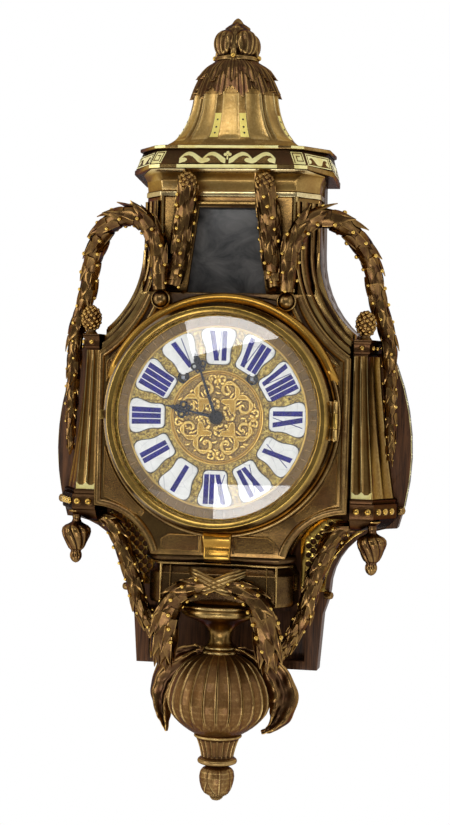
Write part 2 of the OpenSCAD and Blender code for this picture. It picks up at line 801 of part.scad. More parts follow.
module ribbon_tails() {
    color("#8a6128") in_front() both_sides() {
        p = spline(tail_route, 4);
        last = len(p) - 1;
        loft([for (i = [0:last]) let (
            t = unit(p[min(i + 1, last)] - p[max(i - 1, 0)]),
            n1 = unit(cross([0, 0, 1], t)),
            n2 = cross(t, n1)
        ) [for (c = tail_corners) p[i] + n1 * c.x * tail_t / 2 + n2 * c.y * tail_w / 2]]);
    }
}

module fluted_socket() {
    r = socket_r;
    flutes = 16;
    color("#8a6128") upright() translate([0, 0, socket_z]) difference() {
        turned(0, foot_d, [
            [0, 0], [r - 1, 0], [r + 0.5, -3], [r - 1, -6], [r, -8], [r - 3, -socket_h * 0.68],
            [r - 3, -socket_h * 0.72],
            [r - 1, -socket_h * 0.8], [r - 1, -socket_h * 0.9], [r - 3, -socket_h], [0, -socket_h]
        ]);
        for (i = [0:flutes - 1]) rotate_flute(360 * i / flutes, r);
    }
}

module rotate_flute(a, r) {
    translate([(r + 0.4) * cos(a), (r + 0.4) * sin(a) - foot_d, -socket_h * 0.62])
        cylinder(r = 1.5, h = socket_h * 0.38);
}

module bottom_bud() {
    r = socket_r - 3;
    color("#8a6128") upright() translate([0, 0, bud_z]) turned(0, foot_d, [
        [0, 0], [r - 1, 0], [r, -3], [r, -7], [r * 0.85, -bud_h * 0.5], [r * 0.55, -bud_h * 0.72],
        [r * 0.3, -bud_h * 0.88], [0, -bud_h]
    ]);
}

// The dial drum carries the dial plate on a ledge and the bezel on a hinge
drum_in = glass_r + 1.4;
ledge_w = 6;
ledge_t = 3;
ledge_d = d_dial - dial_t - ledge_t;
hinge_x = bezel_r + knuckle_r + 1;
hinge_d = d_bezel + 1;
bezel_knuckle_h = 14;
drum_knuckle_h = 10;
leaf_t = 2.5;
bezel_low = d_bezel + 0.3;
bezel_high = d_bezel + bezel_t;

module upright_pin(r, low, high) {
    translate([hinge_x, high, hinge_d]) rotate([90, 0, 0]) cylinder(r = r, h = high - low);
}

module dial_drum() {
    inner = bezel_knuckle_h / 2 + move_gap;
    outer = inner + drum_knuckle_h;
    color("#8a6128") in_front() {
        rotate_extrude() polygon([[drum_in, d_drum], [bezel_r, d_drum], [bezel_r, d_bezel],
            [drum_in, d_bezel],
            [drum_in, ledge_d + ledge_t], [drum_in - ledge_w, ledge_d + ledge_t],
            [drum_in - ledge_w, ledge_d],
            [drum_in, ledge_d]]);
        for (s = [0, 1]) mirror([0, s, 0]) {
            translate([bezel_r - 4, inner, d_bezel - leaf_t])
                cube([hinge_x - bezel_r + 4, drum_knuckle_h, leaf_t]);
            upright_pin(knuckle_r, inner, outer);
        }
        upright_pin(hinge_pin_r, -outer - 1, outer + 1);
    }
}

module bezel() {
    b = bezel_knuckle_h / 2;
    rebate_r = drum_in + seat_gap;
    color("goldenrod") in_front() difference() {
        union() {
            rotate_extrude() polygon([[rebate_r, bezel_low], [bezel_r, bezel_low],
                [bezel_r, bezel_low + 3],
                [bezel_r - 2, bezel_low + 6], [bezel_r - 4, bezel_high], [glass_r + 2, bezel_high - 1],
                [glass_r, bezel_high - 4], [glass_r, bezel_low + 3], [rebate_r, bezel_low + 3]]);
            translate([bezel_r - 3, -b, bezel_low]) cube([hinge_x - bezel_r + 3, bezel_knuckle_h, 2]);
            upright_pin(knuckle_r, -b, b);
            translate([-bezel_r - 4, -4, bezel_low]) cube([6, 8, 3]);
        }
        upright_pin(hinge_pin_r + run_gap, -2 * b, 2 * b);
    }
}

module glass() {
    rim = glass_r - 0.4;
    seat = bezel_low + 3;
    sphere_r = (rim * rim + glass_rise * glass_rise) / (2 * glass_rise);
    centre = seat + glass_rise - sphere_r;
    color("lightcyan", 0.3) in_front() {
        intersection() {
            translate([0, 0, centre]) difference() {
                sphere(r = sphere_r);
                sphere(r = sphere_r - glass_t);
            }
            translate([0, 0, seat - glass_t]) cylinder(r = rim, h = glass_rise + glass_t + 1);
        }
        translate([0, 0, seat - glass_t]) difference() {
            cylinder(r = drum_in, h = glass_t);
            translate([0, 0, -1]) cylinder(r = rim - 2, h = glass_t + 2);
        }
    }
}

// Dial
winding = [winding_x, winding_z];
square_hole_r = 4;
hour_pipe_r = 3.4;
cannon_r = 2;
dial_hole_r = hour_pipe_r + move_gap;
medallion_r = cartouche_in - 5;
track_in = cartouche_out + 2;
relief_t = 0.8;

// Plate with a raised medallion rim and minute track, on four feet from the movement
module dial_plate() {
    color("gold") in_front() {
        for (a = [25, 155, 205, 335]) translate(polar([0, 0], plate_r - 6, a))
            translate([0, 0, plate_d + plate_t])
            cylinder(r = 2, h = d_dial - dial_t - plate_d - plate_t);
        difference() {
            union() {
                slab(d_dial - dial_t, dial_t) circle(drum_in - seat_gap);
                slab(d_dial, relief_t) difference() {
                    circle(medallion_r);
                    circle(medallion_r - 3);
                }
                slab(d_dial, relief_t) difference() {
                    circle(glass_r - 0.6);
                    circle(track_in);
                }
            }
            translate([0, 0, d_dial - dial_t - 1]) cylinder(r = dial_hole_r, h = dial_t + 4);
            for (s = [-1, 1]) translate([s * winding.x, winding.y, d_dial - dial_t - 1])
                cylinder(r = square_hole_r, h = dial_t + 4);
        }
    }
}

cartouche_half = let (w = cartouche_w / 2, l = cartouche_out - cartouche_in) [
    [w * 0.38, cartouche_in], [w * 0.38, cartouche_in + l * 0.15], [w * 0.78, cartouche_in + l * 0.24],
    [w * 0.72, cartouche_in + l * 0.42], [w * 0.95, cartouche_in + l * 0.58],
    [w, cartouche_in + l * 0.74],
    [w * 0.8, cartouche_in + l * 0.88], [w * 0.45, cartouche_in + l * 0.92], [w * 0.15, cartouche_out]
];

module enamel_cartouches() {
    color("ivory") in_front() for (i = [0:11]) rotate(30 * i) slab(d_dial, enamel_t)
        polygon(mirrored(cartouche_half));
}

// Hands
hour_hand_d = d_dial + enamel_t + 1;
minute_hand_d = hour_hand_d + hand_t + 1.2;
minute_angle = 20;
hour_angle = 78;
hand_boss_r = 7;

// A pierced hand along +y: boss, stem, four-lobed ornament and point
module hand_outline(length, hole) {
    middle = length * 0.62;
    lobe = length * 0.085;
    difference() {
        union() {
            circle(hand_boss_r);
            polygon([[-1.6, hand_boss_r - 1], [1.6, hand_boss_r - 1], [1.1, middle],
                [1.6, length * 0.86], [0, length],
                [-1.6, length * 0.86], [-1.1, middle]]);
            for (q = [[1, 0], [-1, 0], [0, 1], [0, -1]])
                translate([q.x * lobe, middle + q.y * lobe]) circle(lobe);
            for (q = [-1, 1]) translate([q * 3, length * 0.3]) circle(3.2);
        }
        circle(hole);
        for (q = [[1, 0], [-1, 0], [0, 1], [0, -1]])
            translate([q.x * lobe, middle + q.y * lobe]) circle(lobe * 0.55);
        for (q = [-1, 1]) translate([q * 3.4, length * 0.3]) circle(1.5);
    }
}

// The minute hand sits on the cannon, a pipe that slips on the centre arbor to set the hands
module minute_hand() {
    pipe_from = plate_d - minute_hand_d - hand_t;
    pipe_to = cannon_u + cannon_t;
    color("#101820") in_front() {
        rotate(minute_angle) slab(minute_hand_d, hand_t) hand_outline(minute_l, cannon_r + run_gap);
        wheel(centre, minute_axis, cannon_teeth, second_m, cannon_u, cannon_t, cannon_r);
        difference() {
            shaft(centre, cannon_r, pipe_from, pipe_to);
            shaft(centre, arbor_r + run_gap, pipe_from - 1, pipe_to + 1);
        }
    }
}

module hour_hand() {
    color("#101820") in_front() rotate(hour_angle) slab(hour_hand_d, hand_t)
        hand_outline(hour_l, hour_pipe_r + run_gap);
}

// Movement: u is the distance behind the front plate's back face
plate_d = d_drum + 5;
back_d = plate_d - plate_gap - plate_t;
centre = [0, 0];
escape = [0, escape_z];
anchor = [0, anchor_z];
going = winding;
striking = [-winding.x, winding.y];
pin_axis = [-31.2, -13];
hammer_axis = [-44.4, -31.3];

// Teeth and modules of the trains
great_m = 0.5;
great_teeth = 84;
second_m = 0.6;
second_teeth = 72;
second_leaves = 12;
third_m = 0.4;
third_teeth = 80;
fine_leaves = 8;
escape_teeth = 44;
escape_r = 13;
cannon_teeth = 12;
minute_teeth = 36;
minute_leaves = 10;
hour_teeth = 40;

great_dist = (great_teeth + second_leaves) * great_m / 2;
second_dist = (second_teeth + second_leaves) * second_m / 2;
centre_dist = (great_teeth + fine_leaves) * great_m / 2;
third_dist = (third_teeth + fine_leaves) * third_m / 2;
motion_dist = (cannon_teeth + minute_teeth) * second_m / 2;
hour_m = 2 * motion_dist / (minute_leaves + hour_teeth);

// The point at given distances from two others, to the left of the line from a to b
function meet(a, ra, b, rb) = let (
    e = unit(b - a),
    l = norm(b - a),
    along = (l * l + ra * ra - rb * rb) / (2 * l),
    side = sqrt(ra * ra - along * along)
) a + along * e + side * [-e.y, e.x];

second_axis = meet(going, great_dist, centre, second_dist);
third_axis = meet(centre, centre_dist, escape, third_dist);
strike_axis = meet(pin_axis, second_dist, striking, great_dist);
fly_axis = polar(pin_axis, third_dist, -45);
minute_axis = polar(centre, motion_dist, -60);

function heading(a, b) = atan2(b.y - a.y, b.x - a.x);
function gear_points(teeth, m) = let (r = teeth * m / 2, pitch = 360 / teeth) [
    for (i = [0:teeth - 1]) for (q = [[-1.2, -0.25], [0.9, -0.09], [0.9, 0.09], [-1.2, 0.25]])
        polar([0, 0], r + q[0] * m, (i + q[1]) * pitch)
];

// A flat wheel with twelve-sided hole; tooth or gap points along the heading
module gear(p, teeth, m, u, t, hole, turn) {
    translate([p.x, p.y, plate_d - u - t]) rotate(turn) linear_extrude(t) difference() {
        polygon(gear_points(teeth, m));
        circle(r = (hole + run_gap) / cos(15), $fn = 12);
    }
}

module wheel(p, mate, teeth, m, u, t, hole) {
    gear(p, teeth, m, u, t, hole, heading(p, mate));
}

module pinion(p, mate, leaves, m, u, t, hole) {
    gear(p, leaves, m, u, t, hole, heading(p, mate) + 180 / leaves);
}

module shaft(p, r, from_u, to_u) {
    translate([p.x, p.y, plate_d - to_u]) cylinder(r = r, h = to_u - from_u);
}

// Arbor between the plates with a pivot at each end
shake = 0.3;
module arbor(p) {
    shaft(p, arbor_r, shake, plate_gap - shake);
    shaft(p, pivot_r, -plate_t + shake, plate_gap + plate_t - shake);
}

pillars = [[54.5, 19.8], [-56, -15], [41, -41], [-30, -52], [14, 61], [-14, 61]];
pillar_r = 3;
barrel_arbor_r = 3;
barrel_pivot_r = 1.2;
pivoted = [second_axis, third_axis, escape, strike_axis, pin_axis, fly_axis];
ear_r = plate_r + 4.5;
ear_w = 10;
strap_w = 8;
strap_t = 2.5;

module ears() {
    for (s = [-1, 1]) translate([s > 0 ? plate_r - 3 : -ear_r, -ear_w / 2])
        square([ear_r - plate_r + 3, ear_w]);
}

module front_plate() {
    color("goldenrod") in_front() {
        difference() {
            slab(plate_d, plate_t) union() {
                circle(plate_r);
                ears();
            }
            for (p = concat(pivoted, [hammer_axis, anchor])) shaft(p, pivot_r + run_gap, -plate_t - 1, 1);
            for (p = [going, striking]) shaft(p, barrel_arbor_r + run_gap, -plate_t - 1, 1);
            shaft(centre, arbor_r + run_gap, -plate_t - 1, 1);
        }
        shaft(minute_axis, arbor_r, -plate_t - 8, -plate_t);
    }
}

module back_plate() {
    color("goldenrod") in_front() {
        difference() {
            slab(back_d, plate_t) circle(plate_r);
            for (p = concat(pivoted, [centre])) shaft(p, pivot_r + run_gap, plate_gap - 1,
                plate_gap + plate_t + 1);
            for (p = [hammer_axis, anchor]) shaft(p, arbor_r + run_gap, plate_gap - 1,
                plate_gap + plate_t + 1);
            for (p = [going, striking]) shaft(p, barrel_pivot_r + run_gap, plate_gap - 1,
                plate_gap + plate_t + 1);
        }
        for (p = pillars) shaft(p, pillar_r, 0, plate_gap);
    }
}

module movement_straps() {
    color("goldenrod") in_front() for (s = [-1, 1])
        translate([s > 0 ? ear_r - strap_t - 0.5 : -ear_r + 0.5, -strap_w / 2, board_t])
            cube([strap_t, strap_w, plate_d - board_t]);
}

// Going train
centre_u = 8;
great_u = 2;
second_u = 29;
third_u = 33;
escape_u = 36.8;
thin = 1.5;

cannon_u = -plate_t - 4;
cannon_t = 2.5;

module centre_wheel() {
    color("goldenrod") in_front() {
        shaft(centre, arbor_r, plate_d - minute_hand_d - hand_t - 2, plate_gap - shake);
        shaft(centre, pivot_r, plate_gap - shake, plate_gap + plate_t - shake);
        wheel(centre, third_axis, great_teeth, great_m, centre_u, thin, arbor_r);
        pinion(centre, second_axis, second_leaves, second_m, second_u - 1, 4, arbor_r);
    }
}

minute_wheel_u = -plate_t - 3.5;
hour_wheel_u = -plate_t - 6.5;

module minute_wheel() {
    color("goldenrod") in_front() {
        pinion(minute_axis, centre, minute_teeth, second_m, minute_wheel_u, 2, arbor_r);
        wheel(minute_axis, centre, minute_leaves, hour_m, hour_wheel_u - 0.5, 3, arbor_r);
    }
}

module hour_wheel() {
    pipe_from = hour_hand_d + hand_t;
    color("goldenrod") in_front() {
        pinion(centre, minute_axis, hour_teeth, hour_m, hour_wheel_u, thin, hour_pipe_r);
        difference() {
            shaft(centre, hour_pipe_r, plate_d - pipe_from, hour_wheel_u + thin);
            shaft(centre, cannon_r + run_gap, plate_d - pipe_from - 1, hour_wheel_u + thin + 1);
        }
    }
}

barrel_u = great_u + 2 + shake;
barrel_h = 23;
barrel_wall = 1;

module barrel(p, mate) {
    wheel(p, mate, great_teeth, great_m, great_u, 2, barrel_arbor_r);
    difference() {
        shaft(p, barrel_r, barrel_u, barrel_u + barrel_h);
        shaft(p, barrel_r - barrel_wall, barrel_u + barrel_wall, barrel_u + barrel_h - barrel_wall);
        shaft(p, barrel_arbor_r + run_gap, barrel_u - 1, barrel_u + barrel_h + 1);
    }
}

module mainspring(p) {
    difference() {
        shaft(p, barrel_r - barrel_wall - seat_gap, barrel_u + 2, barrel_u + barrel_h - 2);
        shaft(p, barrel_r * 0.55, barrel_u + 1, barrel_u + barrel_h);
    }
}

square_w = 3.2;
module winding_arbor(p) {
    shaft(p, barrel_arbor_r, -plate_t - 1, barrel_u + barrel_h + 0.5);
    shaft(p, barrel_pivot_r, barrel_u + barrel_h + 0.5, plate_gap + plate_t - shake);
    translate([p.x - square_w / 2, p.y - square_w / 2, plate_d + plate_t + 1])
        cube([square_w, square_w, d_dial + 2 - plate_d - plate_t - 1]);
}

module going_barrel() {
    color("goldenrod") in_front() barrel(going, second_axis);
}

module going_mainspring() {
    color("slategray") in_front() mainspring(going);
}

module going_arbor() {
    color("silver") in_front() winding_arbor(going);
}

// An arbor with a pinion and a wheel, each with the one it works with
module going_pair(p, pinion_mate, leaves, pinion_m, pinion_u, wheel_mate, teeth, wheel_m, wheel_u) {
    arbor(p);
    pinion(p, pinion_mate, leaves, pinion_m, pinion_u, 3.5, arbor_r);
    wheel(p, wheel_mate, teeth, wheel_m, wheel_u, thin, arbor_r);
}

module intermediate_wheel() {
    color("goldenrod") in_front()
        going_pair(second_axis, going, second_leaves, great_m, great_u - 0.5, centre, second_teeth,
            second_m, second_u);
}

module third_wheel() {
    color("goldenrod") in_front() {
        shaft(third_axis, arbor_r * 0.8, shake, plate_gap - shake);
        shaft(third_axis, pivot_r, -plate_t + shake, plate_gap + plate_t - shake);
        pinion(third_axis, centre, fine_leaves, great_m, centre_u - 1, 3.5, arbor_r * 0.8);
        wheel(third_axis, escape, third_teeth, third_m, third_u, thin, arbor_r * 0.8);
    }
}

module escape_wheel() {
    tooth = 360 / escape_teeth;
    color("goldenrod") in_front() {
        shaft(escape, pivot_r, -plate_t + shake, plate_gap + plate_t - shake);
        pinion(escape, third_axis, fine_leaves, third_m, third_u - 1, 3.5, pivot_r);
        translate([escape.x, escape.y, plate_d - escape_u - 1.2]) linear_extrude(1.2) difference() {
            polygon([for (i = [0:escape_teeth - 1]) each [
                polar([0, 0], escape_r - 2.5, i * tooth), polar([0, 0], escape_r, (i + 0.25) * tooth),
                polar([0, 0], escape_r - 2.5, (i + 0.4) * tooth)
            ]]);
            circle(r = (pivot_r + run_gap) / cos(15), $fn = 12);
        }
    }
}

// The pallets stay outside the escape wheel's tip circle
pendulum_d = back_d - 6;
crutch_d = back_d - 2.6;
rod_r = 1.2;

module pallet_anchor() {
    rise = anchor_z - escape_z;
    color("slategray") in_front() {
        shaft(anchor, arbor_r, shake, plate_d - crutch_d);
        shaft(anchor, pivot_r, -plate_t + shake, shake);
        translate([0, anchor_z, plate_d - escape_u - 1.2]) linear_extrude(1.2) difference() {
            polygon([[-2.5, 2.5], [2.5, 2.5], [9, -2], [12.5, -rise * 0.5], [11, -rise * 0.55],
                [7, -3], [0, -2.4],
                [-7, -3], [-11, -rise * 0.55], [-12.5, -rise * 0.5], [-9, -2]]);
            circle(r = (arbor_r + run_gap) / cos(15), $fn = 12);
        }
        translate([0, anchor_z, crutch_d - 1]) linear_extrude(1) difference() {
            union() {
                circle(3);
                translate([-1.2, -32]) square([2.4, 30]);
                translate([-4, -35]) square([8, 4]);
            }
            circle(arbor_r + run_gap);
        }
        for (s = [-1, 1]) translate([s * (rod_r + 1.2), anchor_z - 33, pendulum_d - 2])
            cylinder(r = 0.8, h = crutch_d - 1 - pendulum_d + 2);
    }
}

cock_pin_r = 1;
module suspension_cock() {
    color("goldenrod") in_front() {
        translate([-4, anchor_z + 4.5, pendulum_d - 4]) cube([8, 5, back_d - pendulum_d + 4]);
        translate([-4, anchor_z - 3, pendulum_d - 4]) cube([8, 10, 2]);
        translate([0, anchor_z, pendulum_d - 2]) cylinder(r = cock_pin_r, h = 3.4);
    }
}

module pendulum() {
    color("darkgoldenrod") in_front() translate([0, anchor_z, pendulum_d]) {
        translate([0, 0, -1]) difference() {
            cylinder(r = 3, h = 2);
            translate([0, 0, -1]) cylinder(r = cock_pin_r + run_gap, h = 4);
        }
        translate([0, -2.5, 0]) rotate([90, 0, 0]) cylinder(r = rod_r * 0.75, h = pendulum_l + bob_r + 4);
        translate([0, -pendulum_l, 0]) rotate_extrude()
            polygon([[0, -6], [bob_r * 0.6, -4.5], [bob_r, -1], [bob_r, 1], [bob_r * 0.6, 4.5], [0, 6]]);
        translate([0, -pendulum_l - bob_r - 1, 0]) rotate([90, 0, 0]) cylinder(r = 3, h = 3);
    }
}

// Striking train
pin_u = 12;
pin_count = 8;
fly_r = 12;
fly_u = 22;
fly_h = 12;
fly_t = 0.8;

module strike_barrel() {
    color("goldenrod") in_front() barrel(striking, strike_axis);
}

module strike_mainspring() {
    color("slategray") in_front() mainspring(striking);
}

module strike_arbor() {
    color("silver") in_front() winding_arbor(striking);
}

module strike_wheel() {
    color("goldenrod") in_front() going_pair(strike_axis, striking, second_leaves, great_m, great_u - 0.5,
        pin_axis, second_teeth, second_m, second_u);
}

module pin_wheel() {
    color("goldenrod") in_front() {
        arbor(pin_axis);
        pinion(pin_axis, strike_axis, second_leaves, second_m, second_u - 1, 3.5, arbor_r);
        wheel(pin_axis, fly_axis, third_teeth, third_m, pin_u, thin, arbor_r);
        for (i = [0:pin_count - 1]) translate(polar(pin_axis, 12.5, 360 * i / pin_count))
            translate([0, 0, plate_d - pin_u - thin - 2]) cylinder(r = 0.6, h = 2, $fn = 6);
    }
}

module fly() {
    color("goldenrod") in_front() {
        shaft(fly_axis, pivot_r, -plate_t + shake, plate_gap + plate_t - shake);
        pinion(fly_axis, pin_axis, fine_leaves, third_m, pin_u - 1, 3.5, pivot_r);
        difference() {
            union() {
                shaft(fly_axis, 2, fly_u, fly_u + fly_h);
                translate([fly_axis.x - fly_r, fly_axis.y - fly_t / 2, plate_d - fly_u - fly_h])
                    cube([2 * fly_r, fly_t, fly_h]);
            }
            shaft(fly_axis, pivot_r + run_gap, fly_u - 1, fly_u + fly_h + 1);
        }
    }
}

// The hammer swings down, away from the bell
bell_axis = [20, 0];
bell_front = 32;
bell_h = 18;
bell_t = 2;
hammer_d = 27;
hammer_l = 58;
hammer_head_r = 5.3;
hammer_rest = -10;

module hammer() {
    tail = norm(pin_axis - hammer_axis) - 14.2;
    color("slategray") in_front() {
        shaft(hammer_axis, arbor_r, shake, plate_d - hammer_d);
        shaft(hammer_axis, pivot_r, -plate_t + shake, shake);
        translate([hammer_axis.x, hammer_axis.y, plate_d - pin_u - thin - 1.8])
            rotate(heading(hammer_axis, pin_axis))
            linear_extrude(1.2) difference() {
                union() {
                    circle(2.4);
                    translate([0, -1]) square([tail, 2]);
                }
                circle(arbor_r + run_gap);
            }
        translate([hammer_axis.x, hammer_axis.y, hammer_d]) rotate(hammer_rest) {
            linear_extrude(2) difference() {
                union() {
                    circle(3);
                    translate([0, -1]) square([hammer_l - hammer_head_r + 1, 2]);
                }
                circle(arbor_r + run_gap);
            }
            translate([hammer_l, 0, -4]) cylinder(r = hammer_head_r, h = 10);
        }
    }
}

bell_post_r = 2.5;
bell_low = bell_front - bell_h;
module bell() {
    color("silver") in_front() translate([bell_axis.x, bell_axis.y, bell_low]) {
        cylinder(r = bell_post_r, h = back_d - bell_low);
        translate([0, 0, bell_t]) bell_collar();
        rotate_extrude() polygon(bell_profile);
    }
}

module bell_collar() {
    difference() {
        cylinder(r = bell_post_r + 2, h = 2);
        translate([0, 0, -1]) cylinder(r = bell_post_r, h = 4);
    }
}

bell_profile = [
    [bell_post_r, 0], [bell_r * 0.5, 0], [bell_r * 0.8, bell_h * 0.2], [bell_r * 0.95, bell_h * 0.55],
    [bell_r, bell_h], [bell_r - bell_t, bell_h], [bell_r * 0.95 - bell_t, bell_h * 0.55],
    [bell_r * 0.8 - bell_t, bell_h * 0.2 + bell_t], [bell_r * 0.5 - 1, bell_t], [bell_post_r, bell_t]
];

back_board();
carcass_frame();
hanging_plate();
case_fittings();
back_door();
body_shell();
front_frame();
tower_case();
tower_panel();
frieze_cove();
cornice();
dome();
top_finial();
pilasters();
pilaster_capitals();
pilaster_bases();
pine_cones();
drop_pendants();
garland_handle_left();
garland_handle_right();
leaf_chutes();
lower_garlands();
sound_frets();
base_block();
front_swag();
neck_dish();
gadroon_bulb();
ribbon_tails();
fluted_socket();
bottom_bud();
dial_drum();
bezel();
glass();
dial_plate();
enamel_cartouches();
minute_hand();
hour_hand();
front_plate();
back_plate();
movement_straps();
centre_wheel();
minute_wheel();
hour_wheel();
going_barrel();
going_mainspring();
going_arbor();
intermediate_wheel();
third_wheel();
escape_wheel();
pallet_anchor();
suspension_cock();
pendulum();
strike_barrel();
strike_mainspring();
strike_arbor();
strike_wheel();
pin_wheel();
fly();
hammer();
bell();
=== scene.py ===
import math

import bmesh
import bpy
import numpy as np
from mathutils import Matrix, Vector


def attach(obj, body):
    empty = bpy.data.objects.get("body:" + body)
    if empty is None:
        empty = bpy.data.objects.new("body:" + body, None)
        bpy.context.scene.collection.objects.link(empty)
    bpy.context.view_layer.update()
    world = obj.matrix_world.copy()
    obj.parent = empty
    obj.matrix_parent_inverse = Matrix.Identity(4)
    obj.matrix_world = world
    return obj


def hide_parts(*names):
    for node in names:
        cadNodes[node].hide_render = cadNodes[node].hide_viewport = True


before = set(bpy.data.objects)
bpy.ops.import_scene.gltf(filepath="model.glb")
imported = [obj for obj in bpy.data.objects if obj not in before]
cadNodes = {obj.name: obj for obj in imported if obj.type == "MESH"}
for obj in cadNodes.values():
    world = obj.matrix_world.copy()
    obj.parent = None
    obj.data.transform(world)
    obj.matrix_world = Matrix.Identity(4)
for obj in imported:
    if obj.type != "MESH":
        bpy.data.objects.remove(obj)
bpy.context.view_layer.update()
scene = bpy.context.scene
scene.view_settings.view_transform = "Standard"

# Sizes are in millimetres: x to the right, up from the dial centre, deep out from the wall
dialDrop = 170  # the dial centre hangs this far below the hanging hole
millimetre = 0.001


def place(x, up, deep):
    return Vector((x, -deep, up - dialDrop)) * millimetre


def linear(hexText):
    parts = [int(hexText[i:i + 2], 16) / 255 for i in (1, 3, 5)]
    return tuple(c / 12.92 if c < 0.04045 else ((c + 0.055) / 1.055) ** 2.4 for c in parts) + (1,)


def addNode(tree, kind, inputs=None, **settings):
    made = tree.nodes.new(kind)
    for key, value in settings.items():
        setattr(made, key, value)
    for socket, value in (inputs or {}).items():
        if isinstance(value, bpy.types.NodeSocket):
            tree.links.new(value, made.inputs[socket])
        else:
            made.inputs[socket].default_value = value
    return made


def mathNode(tree, operation, *values):
    return addNode(tree, "ShaderNodeMath", dict(enumerate(values)), operation=operation).outputs[0]


def newMaterial(name):
    made = bpy.data.materials.new(name)
    made.use_nodes = True
    made.node_tree.nodes.clear()
    return made, made.node_tree


def linked(name, data):
    made = bpy.data.objects.new(name, data)
    scene.collection.objects.link(made)
    return made


# Camera and studio, with the image taken as 450 x 825
studio = {
    "cameraPlace": (0.3186, -1.8030, -0.1374),
    "yaw": 10.37,
    "dip": 0.922,
    "roll": -1.547,
    "focalPixels": 1909.66,
    "imageHeight": 825,
    "filmSize": 36,
    "whiteBehind": 1.0,
    "dimRoom": 0.22,
    "lamps": {
        "topSoftbox": {"at": (-0.22, -2.4, 1.2), "size": (1.55, 0.62), "light": 4.3, "roll": 16},
        "lowSoftbox": {"at": (0.12, -1.8, -1.26), "size": (0.98, 0.56), "light": 4.3, "roll": 0},
        "rightSoftbox": {"at": (1.9, -1.5, 0.2), "size": (0.9, 1.6), "light": 1.4, "roll": 0},
        "leftSoftbox": {"at": (-2.0, -1.2, 0.0), "size": (0.8, 1.8), "light": 3.4, "roll": 0},
    },
    "aim": (0, 0, -0.17),
    "floorHalf": 3,
    "floorHeight": -1.8,
}


def makeCamera(look):
    yaw, dip, roll = (math.radians(look[k]) for k in ("yaw", "dip", "roll"))
    ahead = Vector((-math.sin(yaw) * math.cos(dip), math.cos(yaw) * math.cos(dip), -math.sin(dip)))
    right = Vector((math.cos(yaw), math.sin(yaw), 0))
    above = right.cross(ahead)
    rightRolled = right * math.cos(roll) - above * math.sin(roll)
    aboveRolled = right * math.sin(roll) + above * math.cos(roll)
    lensData = bpy.data.cameras.new("camera")
    lensData.sensor_width = look["filmSize"]
    lensData.lens = look["focalPixels"] / look["imageHeight"] * look["filmSize"]
    camera = linked("camera", lensData)
    turn = Matrix((rightRolled, aboveRolled, -ahead)).transposed().to_4x4()
    camera.matrix_world = Matrix.Translation(look["cameraPlace"]) @ turn
    scene.camera = camera


def makeWorld(look):
    world = bpy.data.worlds.new("studio")
    scene.world = world
    world.use_nodes = True
    tree = world.node_tree
    tree.nodes.clear()
    # White stands behind and beside the clock, and the dim room lies in front of it
    ray = addNode(tree, "ShaderNodeNewGeometry")
    split = addNode(tree, "ShaderNodeSeparateXYZ", {0: ray.outputs["Position"]})
    side = addNode(tree, "ShaderNodeMapRange", {
        "Value": split.outputs["Y"], "From Min": -0.75, "From Max": 0.35,
        "To Min": look["dimRoom"], "To Max": look["whiteBehind"]})
    path = addNode(tree, "ShaderNodeLightPath")
    # Light that a surface behind the glass gathers is left as dim as the room
    straight = mathNode(tree, "LESS_THAN", path.outputs["Diffuse Depth"], 0.5)
    through = mathNode(tree, "MULTIPLY", path.outputs["Is Transmission Ray"], straight)
    seen = mathNode(tree, "MAXIMUM", path.outputs["Is Camera Ray"], through)
    strength = addNode(tree, "ShaderNodeMix", {"Factor": seen, "A": side.outputs[0], "B": 1.0})
    shade = addNode(tree, "ShaderNodeBackground", {
        "Color": linear("#ffffff"), "Strength": strength.outputs["Result"]})
    addNode(tree, "ShaderNodeOutputWorld", {"Surface": shade.outputs[0]})


def makeLamps(look):
    for name, lamp in look["lamps"].items():
        data = bpy.data.lights.new(name, "AREA")
        data.shape = "RECTANGLE"
        data.size, data.size_y = lamp["size"]
        data.energy = lamp["light"] * math.pi * lamp["size"][0] * lamp["size"][1]
        lit = linked(name, data)
        lit.location = lamp["at"]
        facing = (Vector(look["aim"]) - lit.location).to_track_quat("-Z", "Y").to_matrix()
        lit.rotation_euler = (facing @ Matrix.Rotation(math.radians(lamp["roll"]), 3, "Z")).to_euler()
        lit.visible_camera = False


def makeFloor(look):
    # A pale floor under the hanging clock, out of the picture
    mesh = bpy.data.meshes.new("floor")
    half, low = look["floorHalf"], look["floorHeight"]
    corners = [(-half, -half, low), (half, -half, low), (half, half, low), (-half, half, low)]
    mesh.from_pydata(corners, [], [(0, 1, 2, 3)])
    floor = linked("floor", mesh)
    paint, tree = newMaterial("paleFloorPaint")
    path = addNode(tree, "ShaderNodeLightPath").outputs
    seen = mathNode(tree, "MAXIMUM", path["Is Camera Ray"], path["Is Glossy Ray"])
    seenAll = mathNode(tree, "MAXIMUM", seen, path["Is Transmission Ray"])
    matte = addNode(tree, "ShaderNodeBsdfDiffuse", {"Color": linear("#e6e4e0")})
    white = addNode(tree, "ShaderNodeEmission", {"Color": linear("#ffffff"), "Strength": 1.0})
    mixed = addNode(tree, "ShaderNodeMixShader", {
        0: seenAll, 1: matte.outputs[0], 2: white.outputs[0]})
    addNode(tree, "ShaderNodeOutputMaterial", {"Surface": mixed.outputs[0]})
    mesh.materials.append(paint)


makeCamera(studio)
makeWorld(studio)
makeLamps(studio)
makeFloor(studio)
print("studio ready")


